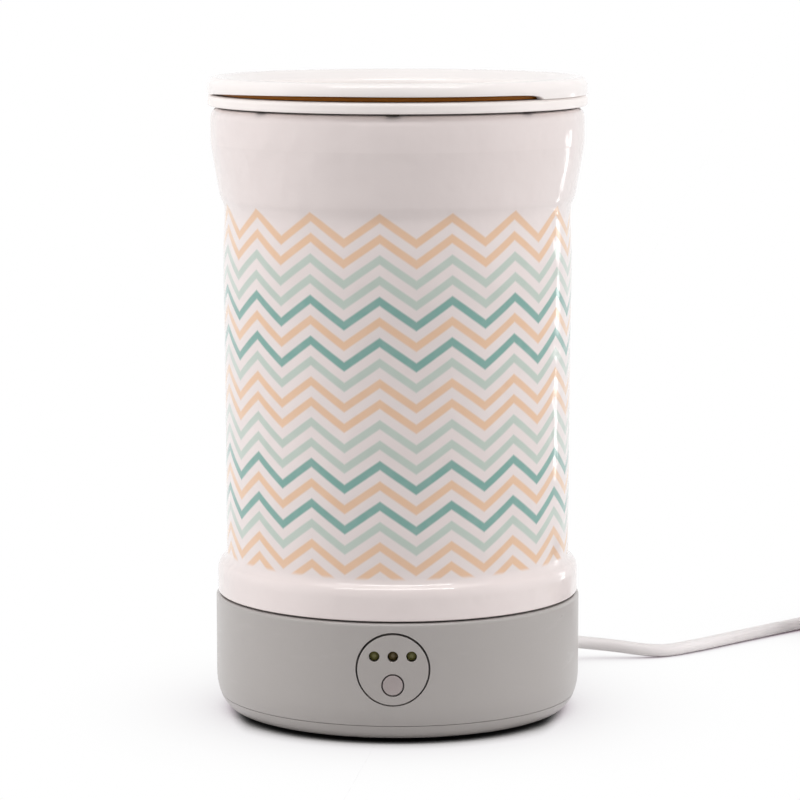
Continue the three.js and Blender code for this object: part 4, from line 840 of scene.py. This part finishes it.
ink = eighths.node(
    "ShaderNodeValToRGB",
    {"blending": "CONSTANT", "stops": [
        (0, peach), (2 / 8, mint), (4 / 8, teal), (5 / 8, peach), (6 / 8, teal), (7 / 8, mint),
    ]},
    {"Fac": eighths},
)
faded = inked * (0.86 + 0.24 * cloudy(at, 260, 3))
glaze_white = mixed(rising(cloudy(at, 22), 0.3, 0.7), paint(233, 222, 220), paint(236, 225, 223))
pinhole = 1 - rising(
    at.node("ShaderNodeTexVoronoi", sockets={"Vector": at, "Scale": 55, "Randomness": 1}), 0.012, 0.02,
)
ripples = cloudy(at, 24, 1) + 0.8 * cloudy(at, 110, 1) + 0.2 * cloudy(at, 240, 1)
finished(at, {
    "Base Color": mixed(0.5 * pinhole, mixed(faded, glaze_white, ink), paint(120, 108, 100)),
    "Roughness": 0.1 + 0.05 * cloudy(at, 300),
    "Coat Weight": 0.5,
    "Normal": bumped(ripples, 0.0006),
})


def flowing(points, steps):
    """A smooth line through the points of an outline."""
    line = []
    ends = [points[0], *points, points[-1]]
    for i in range(len(points) - 1):
        p0, p1, p2, p3 = [Vector(p) for p in ends[i:i + 4]]
        for step in range(steps):
            t = step / steps
            pull = (p2 - p0) * t + (2 * p0 - 5 * p1 + 4 * p2 - p3) * t * t
            line.append(tuple(p1 + (pull + (3 * p1 - p0 - 3 * p2 + p3) * t ** 3) / 2))
    return line + [tuple(points[-1])]


wall_foot = body_low + FOOT_BAND_TALL
wall_line = flowing([
    (WAIST_R, wall_foot + 5.9), (51.1, (wall_foot + body_high) / 2), (51.4, body_high - 46.2),
    (50.95, body_high - 30.7), (52.3, body_high - 25.6), (53.4, body_high - 19.7),
    (RIM_R, body_high - 10.2),
], 16)
bore_line = [(r - BODY_WALL, z) for r, z in reversed(wall_line)]
rim_bore = RIM_R - BODY_WALL
printed_body = turned("printed_body", [
    (FOOT_BORE_IN, body_low),
    *eased([(FOOT_BORE_IN, body_low), (FOOT_BAND_R, body_low, 0.5), (FOOT_BAND_R, wall_foot)], 5)[1:-1],
    *arc((FOOT_BAND_R - 2.1, wall_foot), (2.1, 3.6), 0, 70, 10),
    (51.54, wall_foot + 3.85), (51.13, wall_foot + 4.42), (50.88, wall_foot + 5.11),
    *wall_line,
    *arc((RIM_R - 2.4, body_high - 3.2), (2.4, 3.2), 0, 90, 12),
    (rim_bore + 0.5, body_high), (rim_bore + 0.15, body_high - 0.2), (rim_bore, body_high - 0.6),
    *bore_line,
    (47.3, body_low + 10.4), (43.8, body_low + FLOOR_TOP), (FLOOR_HOLE_R, body_low + FLOOR_TOP),
    (FLOOR_HOLE_R, body_low + FLOOR_LOW), (FOOT_BORE_IN, body_low + FLOOR_LOW),
], 256)
fitted(printed_body, printed_glaze, "glazed_body", "base", "ceramic_body")

# Tabbed seal
# A dark rubber ring between the rim of the ceramic and the white ring on it.
# Eight short tabs reach out to the edge and centre it, and show as darker dashes.

TABS = 8
TAB_STEP = 45
TAB_HALF = math.degrees(1.8 / 54)
TAB_REACH = 54.85
SEAL_REACH = 53.05
SEAL_BORE = 51.65
SEAL_EASE = 0.05
rim_low, rim_high = levels("rim_gasket")
tab_sides = [side * (TAB_HALF + edge) for side in (-1, 1) for edge in (-0.04, 0.04)]
seal_angles = sorted({
    *[round(-90 + 2.5 * k, 3) for k in range(144)],
    *[-90 + TAB_STEP * k + side for k in range(TABS) for side in tab_sides],
})


def tabbed(angle):
    """The outline of the seal at one angle, on a tab or between two of them."""
    apart = abs((angle + 90 + TAB_STEP / 2) % TAB_STEP - TAB_STEP / 2)
    reach = TAB_REACH if apart < TAB_HALF else SEAL_REACH
    return [
        (SEAL_BORE, rim_low), (reach - SEAL_EASE, rim_low), (reach, rim_low + SEAL_EASE),
        (reach, rim_high - SEAL_EASE), (reach - SEAL_EASE, rim_high), (SEAL_BORE, rim_high),
    ]


tabbed_seal = turned("tabbed_seal", tabbed, seal_angles)
fitted(tabbed_seal, dark_rubber, "dark_rubber", "base", "rim_gasket")

# White ring
# A gloss white plastic ring on the rim, with rounded edges. Its skirt goes down inside the ceramic, and
# two bosses on it take the screws of the cross bracket that holds the lamp together.

RING_R = 55.65
RING_TALL = 3.2
SKIRT_IN, SKIRT_OUT = 49.7, 51
RING_BOSS_R = 3.2
RING_BOSS_X = 43.4
RING_RIB = (7, 4, 2.6)
RING_RIB_X = 46.8
PAN_PROUD = 1.4
PAN_TALL = 11.6
PAN_CLEAR = 0.3
ring_white = moulded("ring_white", paint(250, 243, 240), paint(252, 246, 243), 0.22, 0.000008)
ring_top = levels("heater_pan")[1] - PAN_PROUD
ring_low = ring_top - RING_TALL
boss_low = levels("bezel_ring")[0]
pan_low = ring_top + PAN_PROUD - PAN_TALL
skirt_low = pan_low - PAN_CLEAR - RING_RIB[2]
white_ring = turned("white_ring", [
    (SKIRT_IN, skirt_low), (SKIRT_OUT, skirt_low), (SKIRT_OUT, ring_low),
    *eased([
        (SKIRT_OUT, ring_low), (RING_R, ring_low, 0.6), (RING_R, ring_top, 1.2),
        (SKIRT_IN, ring_top, 0.3), (SKIRT_IN, skirt_low),
    ], 6)[1:-1],
], 256)
combined(
    white_ring, "UNION",
    *[rod(RING_BOSS_R, boss_low, pan_low - PAN_CLEAR, side * RING_BOSS_X, 0) for side in (-1, 1)],
    *[bar(RING_RIB, (side * RING_RIB_X, 0, skirt_low + RING_RIB[2] / 2)) for side in (-1, 1)],
)
combined(
    white_ring, "DIFFERENCE",
    *[rod(SCREW_BORE_R, boss_low - 1, boss_low + 9, side * RING_BOSS_X, 0) for side in (-1, 1)],
)
fitted(white_ring, ring_white, "bezel_plastic", "base", "bezel_ring")

# Tie tube and bracket
# A brass tube with nuts runs up the middle from the base to a steel cross bracket under the heater.
# It clamps the base, the ceramic and the ring together, and the leads run inside it.

turned_brass = metal("turned_brass", paint(176, 146, 78), paint(214, 190, 122), 0.28)
dressed(turned_brass, "tie_tube", "bottom_nut", "top_nut")
dressed(
    zinc, "bottom_washer", "top_washer", "heater_bracket", "bracket_screw_1", "bracket_screw_2",
    "ptc_clamp", "clamp_screw_1", "clamp_screw_2",
)

# Warming pan and heater
# A shallow pressed pan with a brown non-stick coat, which hangs by its ledge on the white ring. A flat
# ceramic heater is clamped under its floor, with a thermal fuse beside it.

brown_coat, at = new_material("brown_coat")
specks = rising(cloudy(at, 1500, 3), 0.55, 0.75)
spread = cloudy(at, 45, 3)
finished(at, {
    "Base Color": mixed(0.4 * spread + 0.25 * specks, paint(138, 80, 6), paint(158, 98, 16)),
    "Roughness": 0.42 + 0.2 * (spread - 0.5),
    "Specular IOR Level": 0.2,
    "Normal": bumped(specks, 0.00003),
})
PAN_R = 49.4
PAN_SHEET = 0.9
PAN_EDGE_R = 52.9
PAN_BEND = 2.4
CLAMP_BOSS_R = 2.8
CLAMP_BOSS_X = 20
pan_top = ring_top + PAN_PROUD
pan_bore = PAN_R - PAN_SHEET
pan_corner = (PAN_R - PAN_BEND, pan_low + PAN_BEND)
ledge = ring_top + 0.15
warming_pan = turned("warming_pan", [
    (0, pan_low),
    *arc(pan_corner, (PAN_BEND, PAN_BEND), -90, 0, 8),
    (PAN_R, ledge),
    *eased([
        (PAN_R, ledge), (PAN_EDGE_R, ledge, 0.2), (PAN_EDGE_R, pan_top, 0.4),
        (pan_bore, pan_top, 0.4), (pan_bore, pan_corner[1]),
    ], 4)[1:-1],
    *arc(pan_corner, (PAN_BEND - PAN_SHEET, PAN_BEND - PAN_SHEET), 0, -90, 8),
    (0, pan_low + PAN_SHEET),
], 256)
heater_low = levels("ptc_element")[0]
combined(
    warming_pan, "UNION",
    *[rod(CLAMP_BOSS_R, heater_low, pan_low + 0.5, side * CLAMP_BOSS_X, 0) for side in (-1, 1)],
)
combined(
    warming_pan, "DIFFERENCE",
    *[rod(SCREW_BORE_R, heater_low - 1, pan_low, side * CLAMP_BOSS_X, 0) for side in (-1, 1)],
)
fitted(warming_pan, brown_coat, "pan_coating", "base", "heater_pan")

heater_ceramic, at = new_material("heater_ceramic")
pores = cloudy(at, 1800, 4)
finished(at, {
    "Base Color": mixed(pores, paint(222, 216, 202), paint(196, 190, 178)),
    "Roughness": 0.7 + 0.2 * pores,
    "Normal": bumped(pores, 0.00005),
})
dressed(heater_ceramic, "ptc_element", "thermal_fuse")

# Wax dish
# The white glazed dish that lifts off, with a bowl, a round lip and a land that rests on the ring.
# The land is cut away in two long scoops for the fingers, where the brown pan shows.

DISH_R = 55.8
DISH_LIP = (2.2, 3.1)
BOWL_OUT, BOWL_IN = 8, 5.2
LAND_IN = 53.4
LAND_TALL = 1.62
SCOOPS = (255.9, 75.9)
SCOOP_LEFT, SCOOP_RIGHT = 65, 63.4
SCOOP_CUT = 1.48
SCOOP_STEPS = [0.02, *[0.25 * k for k in range(-16, 1)]]
dish_low, dish_top = levels("wax_dish")
dish_seat = ring_top + 0.08
bowl_corner = (39.9, dish_low + BOWL_OUT)

dish_glaze, at = new_material("dish_glaze")
pooled = rising(cloudy(at, 26), 0.35, 0.7)
finished(at, {
    "Base Color": mixed(pooled, paint(247, 241, 239), paint(250, 245, 243)),
    "Roughness": 0.1 + 0.05 * cloudy(at, 300),
    "Coat Weight": 0.3,
    "Normal": bumped(cloudy(at, 30, 1), 0.0003),
})


def scooped(angle):
    """The outline of the dish at one angle, with its land as high as the scoop leaves it there.
    The scoop is level and blunt at its right end, and thins out towards its left end."""
    aside = min(((angle - middle + 180) % 360 - 180 for middle in SCOOPS), key=abs)
    on_right = aside > 0
    apart = aside / SCOOP_RIGHT if on_right else -aside / SCOOP_LEFT
    cut = 0
    if apart < 1:
        thinned = 0.12 * apart if on_right else 1.1 * apart ** 1.6
        blunt = 16 if on_right else 8
        cut = (SCOOP_CUT - thinned) * min(1, math.sqrt(1.02 - apart ** blunt))
    foot = dish_seat + cut
    under = dish_seat + LAND_TALL
    return [
        (0, dish_low),
        *arc(bowl_corner, (BOWL_OUT, BOWL_OUT), -90, 0, 12),
        (47.9, under - 0.2), (48.1, under), (LAND_IN - 0.2, under), (LAND_IN, under - 0.01),
        (LAND_IN, foot + 0.005), (LAND_IN + 0.1, foot),
        (55.48, foot), (55.65, foot + 0.05), (55.76, foot + 0.15), (DISH_R, foot + 0.33),
        *arc((DISH_R - DISH_LIP[0], dish_top - DISH_LIP[1]), DISH_LIP, 0, 90, 12),
        (52.8, dish_top - 0.06), (51.9, dish_top - 0.25), (51.0, dish_top - 0.58), (47.0, dish_top - 2.02),
        (46.2, dish_top - 2.36), (45.6, dish_top - 2.8), (45.25, dish_top - 3.35), (45.1, dish_top - 4),
        *arc(bowl_corner, (BOWL_IN, BOWL_IN), 0, -90, 10)[1:],
        (0, dish_low + BOWL_OUT - BOWL_IN),
    ]


scoop_angles = sorted({
    *[round(1.5 * k, 3) for k in range(240)],
    *[middle + SCOOP_RIGHT + step for middle in SCOOPS for step in SCOOP_STEPS],
    *[middle - SCOOP_LEFT - step for middle in SCOOPS for step in SCOOP_STEPS],
})
lift_off_dish = turned("lift_off_dish", scooped, scoop_angles)
fitted(lift_off_dish, dish_glaze, "dish_glaze", "dish", "wax_dish")

# Plug
# A flat two pin plug, moulded on to the end of the lead in the same soft white plastic. It has a ribbed
# neck, finger grips and round pins of nickel plated brass with insulating sleeves.

CORD_R = 2.0
COIL_CENTRE = (166.2, 112.0)
PLUG_REAR = Vector((COIL_CENTRE[0] + 41, COIL_CENTRE[1] + 8, 6.9))
PLUG_FACE = 54
PLUG_FULL = (17.3, 6.85, 4.6)
PLUG_GROOVE = (17, 6.5, 4.6)
NECK_RIDGES = 5
NECK_STEP = 3
ROUND = 2
SWELL_STEPS = 26
PIN_R = 2
PIN_X = 9.3
PIN_END = 71
SLEEVE_R = 1.88
SLEEVE_LENGTH = 9
plug_frame = Matrix.Translation(PLUG_REAR) @ Matrix.Rotation(math.pi / 2, 4, "X")


def lofted(name, stations, placed, corners=64):
    """A closed body through rounded sections: place along it, half width, half height, squareness."""
    mesh = bmesh.new()
    rings = []
    for along, wide, high, square in stations:
        ring = []
        for k in range(corners):
            turn = 2 * math.pi * k / corners
            c, s = math.cos(turn), math.sin(turn)
            ring.append(mesh.verts.new((
                math.copysign(abs(c) ** (2 / square), c) * wide,
                math.copysign(abs(s) ** (2 / square), s) * high, along,
            )))
        rings.append(ring)
    skinned(mesh, rings)
    mesh.faces.new(rings[0])
    mesh.faces.new(rings[-1])
    return shaped(name, mesh, placed)


plug_sections = [(0, 2.5, 2.5, ROUND), (0.2, 2.7, 2.7, ROUND)]
for k in range(NECK_RIDGES):
    ridge = 2.85 + 0.2 * k
    groove = ridge - 0.4
    for along, radius in ((1.2, ridge), (2.4, ridge), (2.6, groove), (3.8, groove), (4.0, ridge)):
        plug_sections.append((along + NECK_STEP * k, radius, radius, ROUND))
for step in range(SWELL_STEPS + 1):
    share = step / SWELL_STEPS
    swell = share * share * (3 - 2 * share)
    rise = min(1, share * 1.5)
    rise = rise * rise * (3 - 2 * rise)
    plug_sections.append((18 + 26 * share, 4 + 13.3 * swell, 4 + 2.85 * rise, ROUND + 2.6 * swell))
for k in range(3):
    grip = 45 + 1.9 * k
    plug_sections += [
        (grip, *PLUG_FULL), (grip + 0.2, *PLUG_GROOVE), (grip + 0.8, *PLUG_GROOVE), (grip + 1, *PLUG_FULL),
    ]
plug_sections += [
    (51.6, *PLUG_FULL), (52.6, 17.2, 6.75, 4.6), (53.3, 16.9, 6.45, 4.5), (53.8, 16.4, 5.95, 4.4),
    (PLUG_FACE, 15.8, 5.4, 4.3),
]
flat_plug = lofted("flat_plug", plug_sections, plug_frame)
combined(flat_plug, "DIFFERENCE", *[rod(2.3, 47, 56, side * PIN_X, 0, plug_frame) for side in (-1, 1)])
fitted(flat_plug, soft_white, "cord_white", "base", "plug_body")

pin_nickel, at = new_material("pin_nickel")
sleeve_end = PLUG_REAR.y - PLUG_FACE - SLEEVE_LENGTH
bare = 1 - rising(axes(at)[1], (sleeve_end - 0.1) * MM, (sleeve_end + 0.1) * MM)
drawn = cloudy(stretched(at, (10, 1, 10)), 300, 3)
nickel = mixed(drawn, paint(198, 190, 168), paint(222, 216, 198))
finished(at, {
    "Base Color": mixed(bare, paint(226, 223, 220), nickel),
    "Metallic": bare,
    "Roughness": 0.48 - 0.2 * bare + 0.12 * (drawn - 0.5),
})
pin_line = [
    (0, 47.3), (PIN_R, 47.3), (PIN_R, PLUG_FACE - 0.1), (SLEEVE_R, PLUG_FACE + 0.05),
    (SLEEVE_R, PLUG_FACE + SLEEVE_LENGTH - 0.1), (PIN_R, PLUG_FACE + SLEEVE_LENGTH), (PIN_R, PIN_END),
    *arc((0, PIN_END), (PIN_R, PIN_R), 8, 90, 8),
]
for i, side in enumerate((-1, 1)):
    place = plug_frame @ Matrix.Translation((side * PIN_X, 0, 0))
    prong = turned(f"plug_prong_{i + 1}", pin_line, 40, place)
    fitted(prong, pin_nickel, "pin_metal", "base", f"plug_pin_{i + 1}")

# Cord tie
# A strip of black hook and loop tape, closed round all the turns of the spare lead.
# Its end is rounded and lies pressed on the strip.

TIE_IN, TIE_OUT = 14.44, 29.75
TIE_LOW, TIE_HIGH = 0.6, 19.0
TIE_THICK = 0.6
TIE_HALF = 4.5
TIE_EDGE = TIE_HALF - 0.2
TIE_BEND = 1.4
FLAP_START, FLAP_END = 17, 24
FLAP_ROUND = 3
hook_and_loop, at = new_material("hook_and_loop")
loops = cloudy(at, 2200, 4)
weave = at.node("ShaderNodeTexVoronoi", sockets={"Vector": at, "Scale": 1500})
finished(at, {
    "Base Color": mixed(loops, paint(30, 30, 32), paint(58, 58, 61)),
    "Roughness": 0.85 + 0.1 * (loops - 0.5),
    "Sheen Weight": 0.3,
    "Normal": bumped(weave + loops, 0.00012),
})
tie_frame = Matrix.Translation((*COIL_CENTRE, 0)) @ Matrix.Rotation(math.radians(-60), 4, "Z")


def strap_line(out):
    """The line of the strap round the turns, this far out from its inner face."""
    bend = TIE_BEND + out
    return eased([
        (TIE_IN - out, TIE_LOW - out, bend), (TIE_OUT + out, TIE_LOW - out, bend),
        (TIE_OUT + out, TIE_HIGH + out, bend), (TIE_IN - out, TIE_HIGH + out, bend),
    ], 6)


strap = bmesh.new()
strap_rings = []
for (r, z), (back_r, back_z) in zip(strap_line(0), strap_line(TIE_THICK)):
    middle_r = (r + back_r) / 2
    middle_z = (z + back_z) / 2
    strap_rings.append([strap.verts.new(point) for point in (
        (r, -TIE_EDGE, z), (r, TIE_EDGE, z), (middle_r, TIE_HALF, middle_z),
        (back_r, TIE_EDGE, back_z), (back_r, -TIE_EDGE, back_z), (middle_r, -TIE_HALF, middle_z),
    )])
skinned(strap, [*strap_rings, strap_rings[0]])
top = TIE_HIGH + TIE_THICK
flap = [
    (FLAP_START, -TIE_HALF),
    *arc((FLAP_END, 0), (FLAP_ROUND, TIE_HALF), -90, 90, 12),
    (FLAP_START, TIE_HALF),
]
flap_rings = [
    [strap.verts.new((r, y * share, level)) for r, y in flap]
    for share, level in ((1, top - 0.05), (1, top + 0.4), (0.97, top + 0.5))
]
skinned(strap, flap_rings)
strap.faces.new(flap_rings[0])
strap.faces.new(flap_rings[-1])
bmesh.ops.remove_doubles(strap, verts=strap.verts, dist=1e-5)
strap_tie = shaped("strap_tie", strap, tie_frame)
fitted(strap_tie, hook_and_loop, "tie_strap", "base", "coil_tie")

# Mains lead
# One round white lead, 4 mm thick. It leaves the strain relief, comes down to the table, runs off to
# the right, and the length that isn't needed lies wound in a tied coil beside its plug.

COIL_INNER_R = 17.7
COIL_PITCH = 5.2
COIL_LAYER = 4.6
COIL_LAYERS = 4
COIL_LAYER_TURNS = 1.875
COIL_CLIMB_TURNS = 0.5
COIL_LOW = 2.9
COIL_STEPS = 24
COIL_SWING = COIL_PITCH * COIL_LAYER_TURNS

cord_start = relief_frame @ Vector((0, 0, BUSH_OUT + RELIEF_LENGTH + 0.3))
route = [
    cord_start,
    relief_frame @ Vector((0, 0, BUSH_OUT + RELIEF_LENGTH + 3)),
    (50.5, 66.6, 6.7), (55.3, 68.6, 5.5), (61.2, 69.6, 4.7), (69, 69.9, 3.8), (76, 70.3, 2.8),
    (82.9, 72.2, 2.05), (92, 78.8, 2.05), (103, 89.6, 2.05), (114, 100.7, 2.05), (124.3, 111, 2.05),
    (133, 119.6, 2.05), (140.5, 127, 2.2), (147.5, 133.2, 2.5), (154, 138.55, 2.8), (158, 139.35, 2.9),
]
turns_done = 0.0
for layer in range(COIL_LAYERS):
    inwards = layer % 2 == 0
    height = COIL_LOW + layer * COIL_LAYER
    winding = [
        (COIL_LAYER_TURNS, COIL_INNER_R + COIL_SWING * (1 if inwards else 0), -1 if inwards else 1, 0),
        (COIL_CLIMB_TURNS, COIL_INNER_R + COIL_SWING * (0 if inwards else 1), 0, COIL_LAYER),
    ]
    for turns, radius, spread, climb in winding[:2 if layer < COIL_LAYERS - 1 else 1]:
        steps = round(turns * COIL_STEPS)
        for i in range(0 if not turns_done else 1, steps + 1):
            share = i / steps
            angle = math.pi / 2 - 2 * math.pi * (turns_done + turns * share)
            reach = radius + spread * COIL_SWING * share
            route.append((
                COIL_CENTRE[0] + reach * math.cos(angle),
                COIL_CENTRE[1] + reach * math.sin(angle),
                height + climb * share,
            ))
        turns_done += turns
coil_end = Vector(route[-1])
route += [
    coil_end + Vector((4, 0, 0)),
    coil_end + Vector((10, 0, -0.4)),
    coil_end + Vector((19, -0.6, -2.4)),
    (PLUG_REAR.x - 9, coil_end.y - 4.6, coil_end.z - 4.8),
    (PLUG_REAR.x - 2.4, coil_end.y - 11.5, coil_end.z - 7.2),
    PLUG_REAR + Vector((0, 5, 0.5)),
    PLUG_REAR + Vector((0, 0.3, 0)),
]

cord_line = bpy.data.curves.new("mains_cord", "CURVE")
cord_line.dimensions = "3D"
cord_line.bevel_depth = CORD_R * MM
cord_line.bevel_resolution = 4
cord_line.resolution_u = 6
cord_line.use_fill_caps = True
line = cord_line.splines.new("BEZIER")
line.bezier_points.add(len(route) - 1)
for knot, place in zip(line.bezier_points, route):
    knot.co = Vector(place) * MM
    knot.handle_left_type = knot.handle_right_type = "AUTO"
mains_cord = bpy.data.objects.new("mains_cord", cord_line)
bpy.context.scene.collection.objects.link(mains_cord)

cord_sheath, at = new_material("cord_sheath")
drawn = cloudy(at, 700, 3)
finished(at, {
    "Base Color": mixed(rising(cloudy(at, 60), 0.35, 0.7), paint(248, 243, 243), paint(251, 247, 247)),
    "Roughness": 0.38 + 0.15 * (drawn - 0.5),
    "Normal": bumped(drawn, 0.00003),
})
fitted(mains_cord, cord_sheath, "cord_white", "base", "cord", "cord_coil", "cord_tail")
